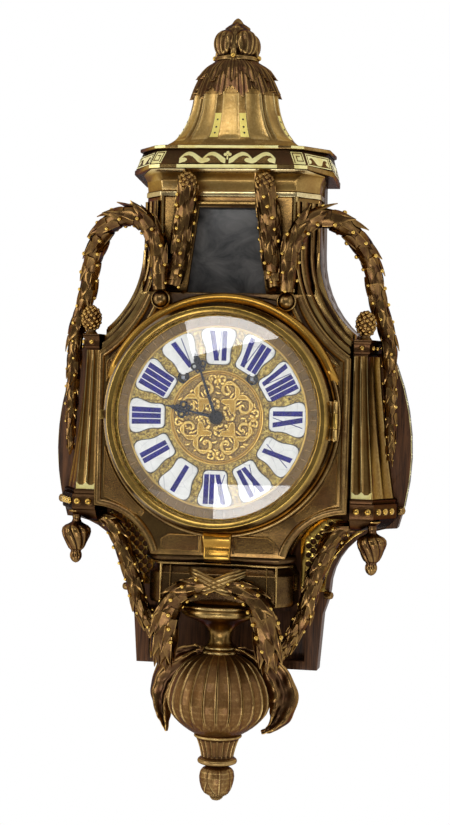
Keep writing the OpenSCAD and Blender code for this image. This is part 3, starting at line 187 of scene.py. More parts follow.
# Finishes
def agedMetal(name, look):
    # Cast or spun metal: dark in the hollows from patina and painted shade, its own tone on the faces, bright
    # on the ridges from rubbed gilding and a painted highlight
    made, tree = newMaterial(name)
    spot = addNode(tree, "ShaderNodeTexCoord").outputs["Object"]
    wearAndPaintedLight = addNode(tree, "ShaderNodeAttribute", attribute_name="relief").outputs["Fac"]
    if not look.get("reliefMade", True):
        wearAndPaintedLight = 0.5
    cloud = addNode(tree, "ShaderNodeTexNoise", {
        "Vector": spot, "Scale": 1 / (look["cloudSize"] * millimetre), "Detail": 3, "Roughness": 0.6})
    speck = addNode(tree, "ShaderNodeTexNoise", {
        "Vector": spot, "Scale": 1 / (look["speckSize"] * millimetre), "Detail": 4, "Roughness": 0.7})
    share = look["speckShare"]
    drift = mathNode(tree, "MULTIPLY_ADD", speck.outputs["Fac"], share, -0.5 * share)
    # Ridges take a painted highlight and hollows a painted shade here, on top of rubbed gilding and patina
    level = mathNode(tree, "ADD", wearAndPaintedLight, drift)
    tone = addNode(tree, "ShaderNodeValToRGB", {"Fac": level})
    stops = tone.color_ramp.elements
    stops[0].position, stops[0].color = 0.22, linear(look["hollow"])
    stops[1].position, stops[1].color = 0.82, linear(look["ridge"])
    middle = stops.new(0.5)
    middle.color = linear(look["face"])
    spread = addNode(tree, "ShaderNodeMapRange", {
        "Value": cloud.outputs["Fac"], "From Min": 0.45, "From Max": 0.68, "To Max": look["stainShare"]})
    colour = addNode(tree, "ShaderNodeMix", {
        "Factor": spread.outputs[0], 6: tone.outputs["Color"], 7: linear(look["stain"])}, data_type="RGBA")
    gloss = addNode(tree, "ShaderNodeMapRange", {
        "Value": level, "From Min": 0.2, "From Max": 0.85,
        "To Min": look["dullest"], "To Max": look["glossiest"]})
    dents = addNode(tree, "ShaderNodeBump", {
        "Strength": look["dents"], "Distance": 0.4 * millimetre, "Height": speck.outputs["Fac"]})
    shader = addNode(tree, "ShaderNodeBsdfPrincipled", {
        "Base Color": colour.outputs[2], "Metallic": look.get("metal", 1.0), "Roughness": gloss.outputs[0],
        "Normal": dents.outputs[0], "Coat Weight": look.get("wax", 0.0), "Coat Roughness": 0.2,
        "Specular Tint": linear(look.get("edge", "#ffffff"))})
    addNode(tree, "ShaderNodeOutputMaterial", {"Surface": shader.outputs[0]})
    return made


# Fire-gilt bronze, browned with age: most of the gold is left on the high places, which also carry a painted
# highlight
browned = {
    "hollow": "#21160c", "face": "#5e4527", "ridge": "#d8b26c", "stain": "#573621", "stainShare": 0.6,
    "cloudSize": 22, "speckSize": 2.2, "speckShare": 0.3, "dullest": 0.42, "glossiest": 0.18, "dents": 0.3,
    "wax": 0.12, "edge": "#6b5238",
}
agedBronze = agedMetal("agedGiltBronze", browned)
# The broad front of the case, in a darker copy of the same bronze: painted shade that keeps its flat faces
# dark under the lamps
shadedFrontBronze = agedMetal("paintedShadeFrontBronze", {
    **browned, "face": "#3b2a1a", "ridge": "#94733f", "stain": "#3d2317", "cloudSize": 30})
# The studded blocks, flat and evenly browned
blockBronze = agedMetal("brownedBlockBronze", {
    **browned, "face": "#503822", "ridge": "#8a6a3c", "wax": 0.04, "reliefMade": False})
# Leaves and ribbons, browner and calmer than the plain mouldings
leafBronze = agedMetal("leafGiltBronze", {
    **browned, "hollow": "#1a1009", "face": "#5b4026", "ridge": "#c29a56", "stain": "#4d2c1d",
    "cloudSize": 14, "speckShare": 0.14, "dents": 0.1, "dullest": 0.36, "glossiest": 0.2})
# The ridges of the dome, the neck and the shafts keep more of their gold, with a painted highlight on them,
# and these parts stand lighter than the front with its painted shade
goldenBronze = agedMetal("goldenGiltBronze", {
    **browned, "hollow": "#35240f", "face": "#8d6d3a", "ridge": "#ecd08c", "stain": "#6f4a24",
    "stainShare": 0.5})
# The hanging bulb and its foot, duller and redder than the dome
footBronze = agedMetal("dullFootBronze", {
    **browned, "hollow": "#2c1c0e", "face": "#7a5832", "ridge": "#e2c17c", "stain": "#64401f",
    "stainShare": 0.55, "dullest": 0.52, "glossiest": 0.36})
# Flutes of the dome and the cove, where the gilding is nearly whole, in a lighter copy of the bronze that
# also paints in the cove's bright highlight
fluteGilt = agedMetal("wholeFluteGiltWithPaintedHighlight", {
    **browned, "hollow": "#66491f", "face": "#b99657", "ridge": "#f8e6b0", "stain": "#8c6636",
    "stainShare": 0.5})
# The same bronze punched all over with a fine point
stippled = agedMetal("stippledGiltBronze", {
    **browned, "face": "#3c2b1c", "ridge": "#7d6036", "speckSize": 1.1, "speckShare": 0.9, "dents": 1.0})
# Burnished gilt brass of the arch, the studs and the berries: warm yellow with brown streaks
burnished = agedMetal("burnishedGiltBrass", {
    "hollow": "#3a260e", "face": "#a87a30", "ridge": "#f0c868", "stain": "#7a4f20", "stainShare": 0.45,
    "cloudSize": 30, "speckSize": 1.6, "speckShare": 0.22, "dullest": 0.38, "glossiest": 0.16, "dents": 0.12})
# Gilt brass of the bezel, browned in its hollows by patina and painted shade
bezelBrass = agedMetal("brownedBezelBrass", {
    "hollow": "#1f1408", "face": "#513a1c", "ridge": "#e2ba62", "stain": "#452c14", "stainShare": 0.5,
    "cloudSize": 26, "speckSize": 1.6, "speckShare": 0.22, "dullest": 0.36, "glossiest": 0.15, "dents": 0.12})
# The minute ring, browned darker than the rest of the dial
trackBrass = agedMetal("brownedMinuteRing", {
    "hollow": "#1a1006", "face": "#3d2b11", "ridge": "#84652f", "stain": "#38290d", "stainShare": 0.6,
    "cloudSize": 12, "speckSize": 0.9, "speckShare": 0.5, "dullest": 0.45, "glossiest": 0.25, "dents": 0.4})
# Matt gilt of the dial, left grainy by the gilder's brush
mattGilt = agedMetal("mattGiltDial", {
    "hollow": "#3c2809", "face": "#b98f35", "ridge": "#f2d27a", "stain": "#94691f", "stainShare": 0.4,
    "cloudSize": 9, "speckSize": 0.9, "speckShare": 0.3, "dullest": 0.5, "glossiest": 0.26, "dents": 0.4})
# Ground of the dial between the plaques: gilt, engraved all over, too rough to mirror the room
engravedGilt = agedMetal("engravedGiltGround", {
    "hollow": "#3f2c0b", "face": "#a6862f", "ridge": "#f0d976", "stain": "#806420", "stainShare": 0.4,
    "cloudSize": 6, "speckSize": 2.1, "speckShare": 2.0, "dullest": 0.68, "glossiest": 0.5, "dents": 1.0,
    "metal": 0.15, "reliefMade": False})
# Ground of the medallion, punched all over
punchedGilt = agedMetal("punchedGiltGround", {
    "hollow": "#3f2c0b", "face": "#957330", "ridge": "#d9b85c", "stain": "#70541c", "stainShare": 0.4,
    "cloudSize": 5, "speckSize": 1.6, "speckShare": 1.6, "dullest": 0.68, "glossiest": 0.5, "dents": 1.0,
    "metal": 0.2})
# Chased foliage in the middle, the brightest gold of the dial
foliageGilt = agedMetal("chasedFoliageGilt", {
    "hollow": "#4a340f", "face": "#b28a35", "ridge": "#f6dc88", "stain": "#8c6722", "stainShare": 0.4,
    "cloudSize": 7, "speckSize": 0.8, "speckShare": 0.3, "dullest": 0.46, "glossiest": 0.22, "dents": 0.4})
# Pale leaf gilding of the inlaid strips, almost cream on the ridges, where it is rubbed and a painted
# highlight falls
paleGilt = agedMetal("paleLeafGilt", {
    "hollow": "#8a7434", "face": "#f0dc74", "ridge": "#fdf3aa", "stain": "#dcba4a", "stainShare": 0.5,
    "cloudSize": 12, "speckSize": 1.4, "speckShare": 0.2, "dullest": 0.5, "glossiest": 0.34, "dents": 0.15,
    "metal": 0.35})
# Works: brass, steel and bell metal as they leave the lathe, hardly tarnished
movementLook = {
    "hollow": "#6b4a17", "face": "#c9a04a", "ridge": "#f0d58a", "stain": "#a97c2c", "stainShare": 0.3,
    "cloudSize": 16, "speckSize": 0.8, "speckShare": 0.2, "dullest": 0.34, "glossiest": 0.2, "dents": 0.1,
    "reliefMade": False}
movementBrass = agedMetal("movementBrass", movementLook)
movementSteel = agedMetal("groundSteel", {
    **movementLook, "hollow": "#4a4d52", "face": "#8d9196", "ridge": "#c5c9cd", "stain": "#75695c"})
bellMetal = agedMetal("turnedBellMetal", {
    **movementLook, "hollow": "#8d8065", "face": "#c8bda0", "ridge": "#e8e0cc", "stain": "#a89a78"})
# Steel heated to a deep blue-black, with a thin gloss
bluedSteel = agedMetal("bluedSteel", {
    "hollow": "#040508", "face": "#0b0c11", "ridge": "#2a2e3b", "stain": "#120c0a", "stainShare": 0.4,
    "cloudSize": 6, "speckSize": 0.9, "speckShare": 0.2, "dullest": 0.42, "glossiest": 0.22, "dents": 0.1})


def plainFinish(name, look):
    # Wood, enamel and lacquer: a coloured body with a pattern of two tones under a soft gloss
    made, tree = newMaterial(name)
    spot = addNode(tree, "ShaderNodeTexCoord").outputs["Object"]
    size = [1 / (s * millimetre) for s in look["patternSize"]]
    stretched = addNode(tree, "ShaderNodeMapping", {"Vector": spot, "Scale": size})
    grain = addNode(tree, "ShaderNodeTexNoise", {
        "Vector": stretched.outputs[0], "Scale": 1.0, "Detail": look["detail"], "Roughness": 0.62,
        "Distortion": look["swirl"]})
    tone = addNode(tree, "ShaderNodeValToRGB", {"Fac": grain.outputs["Fac"]})
    stops = tone.color_ramp.elements
    stops[0].position, stops[0].color = 0.34, linear(look["dark"])
    stops[1].position, stops[1].color = 0.66, linear(look["light"])
    colour = tone.outputs["Color"]
    if "crackSize" in look:  # hairline crazing of old enamel, drawn wide enough to show
        cell = addNode(tree, "ShaderNodeTexVoronoi", {
            "Vector": spot, "Scale": 1 / (look["crackSize"] * millimetre)}, feature="DISTANCE_TO_EDGE")
        line = addNode(tree, "ShaderNodeMapRange", {
            "Value": cell.outputs["Distance"], "From Max": look["crackWidth"] / look["crackSize"],
            "To Min": 0.55, "To Max": 0.0})
        colour = addNode(tree, "ShaderNodeMix", {
            "Factor": line.outputs[0], 6: colour, 7: linear(look["crack"])}, data_type="RGBA").outputs[2]
    gloss = addNode(tree, "ShaderNodeMapRange", {
        "Value": grain.outputs["Fac"], "To Min": look["glossiest"], "To Max": look["dullest"]})
    dents = addNode(tree, "ShaderNodeBump", {
        "Strength": look["dents"], "Distance": 0.3 * millimetre, "Height": grain.outputs["Fac"]})
    shader = addNode(tree, "ShaderNodeBsdfPrincipled", {
        "Base Color": colour, "Roughness": gloss.outputs[0], "Normal": dents.outputs[0],
        "Coat Weight": look["coat"], "Coat Roughness": 0.12, "Specular IOR Level": look.get("sheen", 0.5)})
    addNode(tree, "ShaderNodeOutputMaterial", {"Surface": shader.outputs[0]})
    return made


# Walnut stained dark and waxed, with its grain upright
stainedWalnut = plainFinish("stainedWalnut", {
    "patternSize": (3, 3, 60), "detail": 6, "swirl": 1.2, "dark": "#2e1c10", "light": "#6a452a",
    "glossiest": 0.42, "dullest": 0.6, "dents": 0.25, "coat": 0.0, "sheen": 0.18})
# Fired white enamel, faintly uneven and crazed
whiteEnamel = plainFinish("whiteEnamel", {
    "patternSize": (9, 9, 9), "detail": 2, "swirl": 0, "dark": "#ececea", "light": "#f8f8f6",
    "glossiest": 0.08, "dullest": 0.16, "dents": 0.05, "coat": 0.3,
    "crackSize": 17, "crackWidth": 0.16, "crack": "#8a8f9c"})
# Painted-on blue of the numerals, fired with the enamel
blueEnamel = plainFinish("cobaltBlueEnamel", {
    "patternSize": (4, 4, 4), "detail": 3, "swirl": 0.4, "dark": "#08045c", "light": "#120a8c",
    "glossiest": 0.4, "dullest": 0.5, "dents": 0.05, "coat": 0.0, "sheen": 0.05})
# Darkened sheet behind the window, clouded grey
cloudedSheet = plainFinish("cloudedDarkSheet", {
    "patternSize": (26, 26, 18), "detail": 5, "swirl": 0.8, "dark": "#1e1e1f", "light": "#575553",
    "glossiest": 0.3, "dullest": 0.5, "dents": 0.1, "coat": 0.1})
# Ebonised ground and lacquer in the sunk places
ebonised = plainFinish("ebonisedGround", {
    "patternSize": (5, 5, 5), "detail": 4, "swirl": 0.5, "dark": "#140d08", "light": "#35241a",
    "glossiest": 0.4, "dullest": 0.6, "dents": 0.3, "coat": 0.05})


def clearGlazing():
    # Old hand-blown clear glass: colourless, with a bright polish that mirrors the lamps
    made, tree = newMaterial("clearConvexGlass")
    spot = addNode(tree, "ShaderNodeTexCoord").outputs["Object"]
    waves = addNode(tree, "ShaderNodeTexNoise", {"Vector": spot, "Scale": 1 / (40 * millimetre), "Detail": 1})
    ripple = addNode(tree, "ShaderNodeBump", {
        "Strength": 0.02, "Distance": 1 * millimetre, "Height": waves.outputs["Fac"]})
    shader = addNode(tree, "ShaderNodeBsdfPrincipled", {
        "Base Color": linear("#ffffff"), "Roughness": 0.0, "Transmission Weight": 1.0, "IOR": 1.5,
        "Coat Weight": 0.5, "Coat Roughness": 0.0, "Coat IOR": 1.5, "Normal": ripple.outputs[0]})
    # Light reaches the dial through the pane as if it were open
    path = addNode(tree, "ShaderNodeLightPath")
    openLight = addNode(tree, "ShaderNodeBsdfTransparent", {"Color": linear("#f6f8f7")})
    mixed = addNode(tree, "ShaderNodeMixShader", {
        0: path.outputs["Is Shadow Ray"], 1: shader.outputs[0], 2: openLight.outputs[0]})
    addNode(tree, "ShaderNodeOutputMaterial", {"Surface": mixed.outputs[0]})
    return made


clearGlass = clearGlazing()
print("finishes ready")


# Making pieces
def markRelief(mesh, reach=3.5 * millimetre):
    # How far each point bulges out (1) or in (0) beside its neighbours, for the rubbed gilding and patina,
    # and for the painted highlight on ridges and painted shade in hollows
    count = len(mesh.vertices)
    spots = np.empty(count * 3)
    facing = np.empty(count * 3)
    ends = np.empty(len(mesh.edges) * 2, int)
    mesh.vertices.foreach_get("co", spots)
    mesh.vertices.foreach_get("normal", facing)
    mesh.edges.foreach_get("vertices", ends)
    spots, facing, ends = spots.reshape(-1, 3), facing.reshape(-1, 3), ends.reshape(-1, 2)
    step = spots[ends[:, 1]] - spots[ends[:, 0]]
    square = np.maximum((step ** 2).sum(1), 1e-10)
    first = np.bincount(ends[:, 0], -2 * (step * facing[ends[:, 0]]).sum(1) / square, count)
    second = np.bincount(ends[:, 1], 2 * (step * facing[ends[:, 1]]).sum(1) / square, count)
    shared = np.maximum(np.bincount(ends.ravel(), minlength=count), 1)
    level = np.clip(0.5 + 0.16 * reach * (first + second) / shared, 0, 1)
    for turn in range(2):
        around = np.bincount(ends[:, 0], level[ends[:, 1]], count)
        around += np.bincount(ends[:, 1], level[ends[:, 0]], count)
        level = 0.5 * level + 0.5 * around / shared
    relief = mesh.attributes.new("relief", "FLOAT", "POINT")
    relief.data.foreach_set("value", level.astype(np.float32))


def coated(mesh, *finishes):
    if mesh.materials:
        mesh.materials.clear()
    for finish in finishes:
        mesh.materials.append(finish)
    return mesh


def joinMeshes(meshes):
    # One mesh from several, each keeping its own finishes
    joined = bmesh.new()
    finishes = []
    for mesh in meshes:
        for slot in mesh.materials:
            if slot not in finishes:
                finishes.append(slot)
    for mesh in meshes:
        first = len(joined.faces)
        own = [finishes.index(slot) for slot in mesh.materials]
        joined.from_mesh(mesh)
        joined.faces.ensure_lookup_table()
        for face in joined.faces[first:]:
            face.material_index = own[face.material_index] if own else 0
    made = bpy.data.meshes.new("mesh")
    joined.to_mesh(made)
    joined.free()
    return coated(made, *finishes)


def finishPiece(name, made, stands=(), body="case", sharp=38):
    mesh = joinMeshes(made) if isinstance(made, list) else made
    mesh.name = name
    mesh.polygons.foreach_set("use_smooth", [True] * len(mesh.polygons))
    mesh.set_sharp_from_angle(angle=math.radians(sharp))
    markRelief(mesh)
    piece = linked(name, mesh)
    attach(piece, body)
    if stands:
        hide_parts(*stands)


weldReach = 0.004 * millimetre


def weld(mesh, merge=weldReach):
    solid = bmesh.new()
    solid.from_mesh(mesh)
    bmesh.ops.remove_doubles(solid, verts=solid.verts, dist=merge)
    bmesh.ops.recalc_face_normals(solid, faces=solid.faces)
    solid.to_mesh(mesh)
    solid.free()
    return mesh


def cleanMesh(points, faces, finishIndex=None, merge=weldReach):
    mesh = bpy.data.meshes.new("mesh")
    mesh.from_pydata([tuple(p) for p in points], [], faces)
    if finishIndex is not None:
        mesh.polygons.foreach_set("material_index", finishIndex)
    return weld(mesh, merge)


def ringFaces(rows, count, closed=False):
    # Faces between rings of points that follow each other, with a cap at either end if asked
    faces = []
    for first in range(0, (rows - 1) * count, count):
        for k in range(count):
            m = (k + 1) % count
            faces.append((first + k, first + m, first + count + m, first + count + k))
    if closed:
        faces += [tuple(range(count)), tuple(range((rows - 1) * count, rows * count))]
    return faces


def sweep(sections, finish):
    # A closed solid through rows of places, all of the same count
    points = [p for row in sections for p in row]
    return coated(cleanMesh(points, ringFaces(len(sections), len(sections[0]), True)), finish)


def plainMesh(source):
    # What an object shows with its modifiers, as a plain mesh; the object itself goes
    mesh = bpy.data.meshes.new_from_object(source.evaluated_get(bpy.context.evaluated_depsgraph_get()))
    bpy.data.objects.remove(source)
    return mesh


def polyCurve(name, lines, flat=False):
    # Straight from point to point along each line, which closes on itself if it is flat
    data = bpy.data.curves.new(name, "CURVE")
    data.dimensions = "2D" if flat else "3D"
    for line in lines:
        spline = data.splines.new("POLY")
        spline.points.add(len(line) - 1)
        spline.use_cyclic_u = flat
        for point, p in zip(spline.points, line):
            point.co = (*p, 1)
    return data


def dressNode(node, finish, edge, body="case"):
    # A CAD solid with its edges eased, so that light and wear catch on them
    solid = bmesh.new()
    solid.from_mesh(cadNodes[node].data)
    bmesh.ops.remove_doubles(solid, verts=solid.verts, dist=0.005 * millimetre)
    bmesh.ops.dissolve_limit(solid, angle_limit=math.radians(1), verts=solid.verts, edges=solid.edges)
    rough = bpy.data.meshes.new(node + "Rough")
    solid.to_mesh(rough)
    solid.free()
    coated(rough, finish)
    rough.polygons.foreach_set("material_index", [0] * len(rough.polygons))
    draft = linked(node + "Draft", rough)
    ease = draft.modifiers.new("ease", "BEVEL")
    ease.width = edge * millimetre
    ease.segments = 2
    ease.limit_method = "ANGLE"
    ease.angle_limit = math.radians(32)
    ease.use_clamp_overlap = True
    finishPiece(node + "Dressed", plainMesh(draft), [node], body)


# CAD solids that keep their shape
eased = {
    agedBronze: {"body_shell": 0.6, "dial_drum": 0.4},
    burnished: {"sound_frets": 0.3},
    # The front frame, base block and tower case take the darker copy of the bronze, as painted shade
    shadedFrontBronze: {"front_frame": 0.9, "base_block": 0.7, "tower_case": 0.7},
    # The cove takes the lighter flute gilt, whose colour holds a painted highlight
    fluteGilt: {"frieze_cove": 0.5},
}
for finish, edges in eased.items():
    for node, edge in edges.items():
        dressNode(node, finish, edge)
dressNode("bezel", bezelBrass, 0.4, "bezel")
dressNode("back_board", stainedWalnut, 0.8)
dressNode("carcass_frame", stainedWalnut, 0.8)
dressNode("tower_panel", cloudedSheet, 0.3)

# Works and fittings seen from behind or with a door open
keptNodes = {
    movementBrass: (
        "hanging_plate back_door front_plate back_plate movement_straps centre_wheel minute_wheel hour_wheel "
        "going_barrel intermediate_wheel third_wheel escape_wheel suspension_cock pendulum strike_barrel "
        "strike_wheel pin_wheel fly"),
    movementSteel: (
        "case_fittings going_mainspring going_arbor pallet_anchor strike_mainspring strike_arbor hammer"),
    bellMetal: "bell",
}
for finish, names in keptNodes.items():
    for node in names.split():
        slots = cadNodes[node].data.materials
        slots.clear()
        slots.append(finish)
print("plain solids dressed")


# Laurel garlands: a core along a route, leaves in a spiral on it, berries between them
def smoothRoute(route, steps=6):
    # A curve through points of x, up, deep and radius
    marks = [np.array(p, float) for p in route]
    marks = [2 * marks[0] - marks[1]] + marks + [2 * marks[-1] - marks[-2]]
    line = []
    for a, b, c, d in zip(marks, marks[1:], marks[2:], marks[3:]):
        for k in range(steps):
            t = k / steps
            line.append(0.5 * (2 * b + (c - a) * t + (2 * a - 5 * b + 4 * c - d) * t * t
                               + (3 * b - a - 3 * c + d) * t ** 3))
    line.append(marks[-2])
    return line


def routeCurve(name, line):
    data = polyCurve(name, [[place(*p[:3]) for p in line]])
    for point, p in zip(data.splines[0].points, line):
        point.radius = p[3] * millimetre
    return linked(name, data)


def leafMesh(width, wrap, rise, stations=8):
    # A unit leaf along x, bent round the stem it lies on, with a raised midrib, closed underneath
    points = []
    for i in range(stations):
        u = i / (stations - 1)
        half = 0.5 * width * math.sin(math.pi * (0.1 + 0.9 * u) ** 0.62) ** 1.05 + 0.004
        lift = rise * (0.25 + 0.75 * u ** 1.6)
        thick = rise * (0.5 + 0.5 * math.sin(math.pi * u))
        for side, high in ((-1, 0), (-0.6, 0.75), (-0.12, 0.7), (0, 1.15), (0.12, 0.7), (0.6, 0.75), (1, 0)):
            drop = wrap * (2 * half / width * side) ** 2
            points.append((u, half * side, lift - drop + thick * high))
    faces = []
    for i in range(stations - 1):
        row = 7 * i
        for j in range(6):
            faces.append((row + j, row + j + 7, row + j + 8, row + j + 1))
        faces.append((row, row + 6, row + 13, row + 7))
    faces += [tuple(range(7)), tuple(range(7 * stations - 1, 7 * stations - 8, -1))]
    return cleanMesh(points, faces, merge=1e-5)


def berryMesh():
    solid = bmesh.new()
    bmesh.ops.create_icosphere(solid, subdivisions=2, radius=1)
    mesh = bpy.data.meshes.new("berry")
    solid.to_mesh(mesh)
    solid.free()
    return mesh


# Shapes that the trees repeat; they are removed once these have run
patterns = {
    "laurel": linked("laurelLeaf", leafMesh(0.6, 0.1, 0.08)),
    "berry": linked("berry", berryMesh()),
}


def newTree(name, sockets):
    tree = bpy.data.node_groups.new(name, "GeometryNodeTree")
    face = tree.interface
    face.new_socket("Geometry", in_out="INPUT", socket_type="NodeSocketGeometry")
    face.new_socket("Geometry", in_out="OUTPUT", socket_type="NodeSocketGeometry")
    for kind, names in sockets.items():
        for socket in names:
            face.new_socket(socket, in_out="INPUT", socket_type="NodeSocket" + kind)
    return tree, addNode(tree, "NodeGroupInput").outputs


def garlandTree():
    tree, given = newTree("garland", {
        "Float": (
            "Core Share", "Leaf Turn", "Leaf Size", "Leaf Tilt", "Berry Turn", "Berry Size", "Berry Lift"),
        "Int": ("Leaf Count", "Berry Count", "Seed"), "Object": ("Leaf", "Berry"),
        "Material": ("Leaf Finish", "Berry Finish")})
    radius = addNode(tree, "GeometryNodeInputRadius").outputs[0]
    index = addNode(tree, "GeometryNodeInputIndex").outputs[0]
    around = addNode(tree, "GeometryNodeCurvePrimitiveCircle", {
        "Resolution": 14, "Radius": given["Core Share"]})
    core = addNode(tree, "GeometryNodeCurveToMesh", {
        "Curve": given["Geometry"], "Profile Curve": around.outputs[0], "Scale": radius, "Fill Caps": True})
    coreDone = addNode(tree, "GeometryNodeSetMaterial", {
        "Geometry": core.outputs[0], "Material": given["Leaf Finish"]})
    joined = addNode(tree, "GeometryNodeJoinGeometry", {"Geometry": coreDone.outputs[0]})
    for part, lift in (("Leaf", given["Core Share"]), ("Berry", given["Berry Lift"])):
        dots = addNode(tree, "GeometryNodeCurveToPoints", {
            "Curve": given["Geometry"], "Count": given[part + " Count"]}, mode="COUNT")
        jitter = addNode(tree, "FunctionNodeRandomValue", {2: -0.12, 3: 0.12, "Seed": given["Seed"]})
        angle = mathNode(tree, "MULTIPLY_ADD", index, given[part + " Turn"], jitter.outputs[1])
        outward = addNode(tree, "ShaderNodeVectorRotate", {
            "Vector": dots.outputs["Normal"], "Axis": dots.outputs["Tangent"], "Angle": angle})
        offset = addNode(tree, "ShaderNodeVectorMath", {
            0: outward.outputs[0], "Scale": mathNode(tree, "MULTIPLY", radius, lift)}, operation="SCALE")
        moved = addNode(tree, "GeometryNodeSetPosition", {
            "Geometry": dots.outputs[0], "Offset": offset.outputs[0]})
        turned = addNode(tree, "FunctionNodeAxesToRotation", {
            0: outward.outputs[0], 1: dots.outputs["Tangent"]}, primary_axis="Z", secondary_axis="X")
        turn = turned.outputs[0]
        if part == "Leaf":
            lean = addNode(tree, "ShaderNodeCombineXYZ", {"Y": given["Leaf Tilt"]})
            leaned = addNode(tree, "FunctionNodeEulerToRotation", {0: lean.outputs[0]})
            turn = addNode(tree, "FunctionNodeRotateRotation", {
                0: turn, 1: leaned.outputs[0]}, rotation_space="LOCAL").outputs[0]
        vary = addNode(tree, "FunctionNodeRandomValue", {2: 0.85, 3: 1.15, "Seed": given["Seed"]})
        sized = mathNode(tree, "MULTIPLY", radius, given[part + " Size"])
        scaled = mathNode(tree, "MULTIPLY", sized, vary.outputs[1])
        shape = addNode(tree, "GeometryNodeObjectInfo", {"Object": given[part]})
        laid = addNode(tree, "GeometryNodeInstanceOnPoints", {
            "Points": moved.outputs[0], "Instance": shape.outputs["Geometry"], "Rotation": turn,
            "Scale": scaled})
        real = addNode(tree, "GeometryNodeRealizeInstances", {0: laid.outputs[0]})
        done = addNode(tree, "GeometryNodeSetMaterial", {
            "Geometry": real.outputs[0], "Material": given[part + " Finish"]})
        tree.links.new(done.outputs[0], joined.inputs[0])
    addNode(tree, "NodeGroupOutput", {0: joined.outputs[0]})
    return tree


garlandNodes = garlandTree()


def runTree(source, tree, values):
    # The tree's result as a plain mesh, with the source removed
    grown = source.modifiers.new("grown", "NODES")
    grown.node_group = tree
    for item in tree.interface.items_tree:
        if item.in_out == "INPUT" and item.name in values:
            grown[item.identifier] = values[item.name]
    bpy.context.view_layer.update()
    return plainMesh(source)


def mirrored(route):
    return [(-p[0], *p[1:]) for p in route]


goldenAngle = 2.39996
laurel = {
    "Core Share": 0.84, "Leaf": patterns["laurel"], "Leaf Turn": goldenAngle, "Leaf Size": 2.0,
    "Leaf Tilt": 0.06, "Berry": patterns["berry"], "Berry Turn": 4.1, "Berry Size": 0.21, "Berry Lift": 1.0,
    "Seed": 4, "Leaf Finish": leafBronze, "Berry Finish": burnished,
}
handleRoute = [
    (58.5, 115.5, 90, 7.6), (59.5, 130, 90, 8.8), (61, 150, 89, 9.4), (67, 167, 88, 9.8), (77, 179, 88, 10.2),
    (92, 183, 87, 10.5), (110, 176, 80, 10.5), (122, 162, 68, 10), (131, 145, 56, 9.5), (138, 110, 50, 8.5),
    (148, 77, 47, 8), (150, 53, 45, 7.4), (151, 26, 44, 6.6), (152, -15, 43, 5.2), (152, -36, 42, 3),
]
chuteRoute = [
    (48, 118, 88, 7.6), (45.5, 132, 83, 9.4), (43, 152, 83.2, 10), (40, 178, 83.4, 10),
    (37.2, 198, 85.2, 9.8), (36.4, 207, 87.4, 8.5),
]
lowerRoute = [
    (126, -98.5, 50, 5), (106, -104, 54, 8.5), (86, -150, 54, 8.5), (79, -178, 50.5, 8.5),
    (66, -203, 43.5, 7.5), (54, -224, 36, 4),
]
swagRoute = [
    (0, -154, 82.5, 8), (20, -156, 84, 9), (36, -165, 86, 10.5), (45, -184, 84, 12.4), (48, -204, 79.5, 12.4),
    (49, -221, 74, 7.5),
]
garlands = {
    "garlandHandleRight": {
        "node": "garland_handle_right", "routes": [handleRoute], "leaves": 100, "berries": 62},
    "garlandHandleLeft": {
        "node": "garland_handle_left", "routes": [mirrored(handleRoute)], "leaves": 100, "berries": 62},
    "lowerGarlands": {
        "node": "lower_garlands", "routes": [lowerRoute, mirrored(lowerRoute)], "leaves": 64, "berries": 30},
    "frontSwag": {
        "node": "front_swag", "routes": [swagRoute, mirrored(swagRoute)], "leaves": 46, "berries": 24},
    "leafChutes": {
        "node": "leaf_chutes", "routes": [chuteRoute, mirrored(chuteRoute)], "leaves": 44, "berries": 26,
        "ends": [(35.8, 214.5, 89.5, 7.6), (-35.8, 214.5, 89.5, 7.6)]},
}


def berryCluster(centre, reach, count, size, stretch=1.0, finish=burnished):
    # Berries spread evenly over an egg, as at the end of a garland or on a cone
    spots = []
    for k in range(count):
        high = 1 - 2 * (k + 0.5) / count
        turn = goldenAngle * k
        wide = math.sqrt(1 - high * high)
        spots.append(Vector((wide * math.cos(turn), wide * math.sin(turn), high * stretch)) * reach)
    joined = bmesh.new()
    for spot in spots + [None]:
        made = bmesh.ops.create_icosphere(joined, subdivisions=2, radius=1)
        grow = Vector((size, size, size)) if spot is not None else Vector((reach, reach, reach * stretch))
        shift = place(*centre) + (spot or Vector((0, 0, 0))) * millimetre
        for vert in made["verts"]:
            vert.co = Vector(a * b * millimetre for a, b in zip(vert.co, grow)) + shift
    mesh = bpy.data.meshes.new("berries")
    joined.to_mesh(mesh)
    joined.free()
    return coated(mesh, finish)


for name, garland in garlands.items():
    look = {**laurel, "Leaf Count": garland["leaves"], "Berry Count": garland["berries"]}
    grown = [runTree(routeCurve(name + "Route", smoothRoute(route)), garlandNodes, look)
             for route in garland["routes"]]
    for x, up, deep, reach in garland.get("ends", ()):
        grown.append(berryCluster((x, up, deep), reach, 40, reach * 0.26, finish=leafBronze))
    finishPiece(name, grown, [garland["node"]])
print("garlands grown")


# The dial. It hangs upside down in its case: the place at the top carries six
def lathe(profile, centre, finish, sides=128, axis="deep"):
    # A turned shape from points of radius and travel along the axis, closed where the radius is 0
    points = []
    for r, travel in profile:
        for k in range(sides):
            turn = 2 * math.pi * k / sides
            across, over = r * math.sin(turn), r * math.cos(turn)
            if axis == "deep":
                points.append(place(centre[0] + across, centre[1] + over, centre[2] + travel))
            else:
                points.append(place(centre[0] + across, centre[1] + travel, centre[2] + over))
    return coated(cleanMesh(points, ringFaces(len(profile), sides)), finish)


def ringProfile(inner, outer, foot, shape):
    # A closed moulding between two radii, its top given as shares of its width and heights
    top = [(inner + (outer - inner) * share, foot + high) for share, high in shape]
    return [(inner, foot)] + top + [(outer, foot), (inner, foot)]


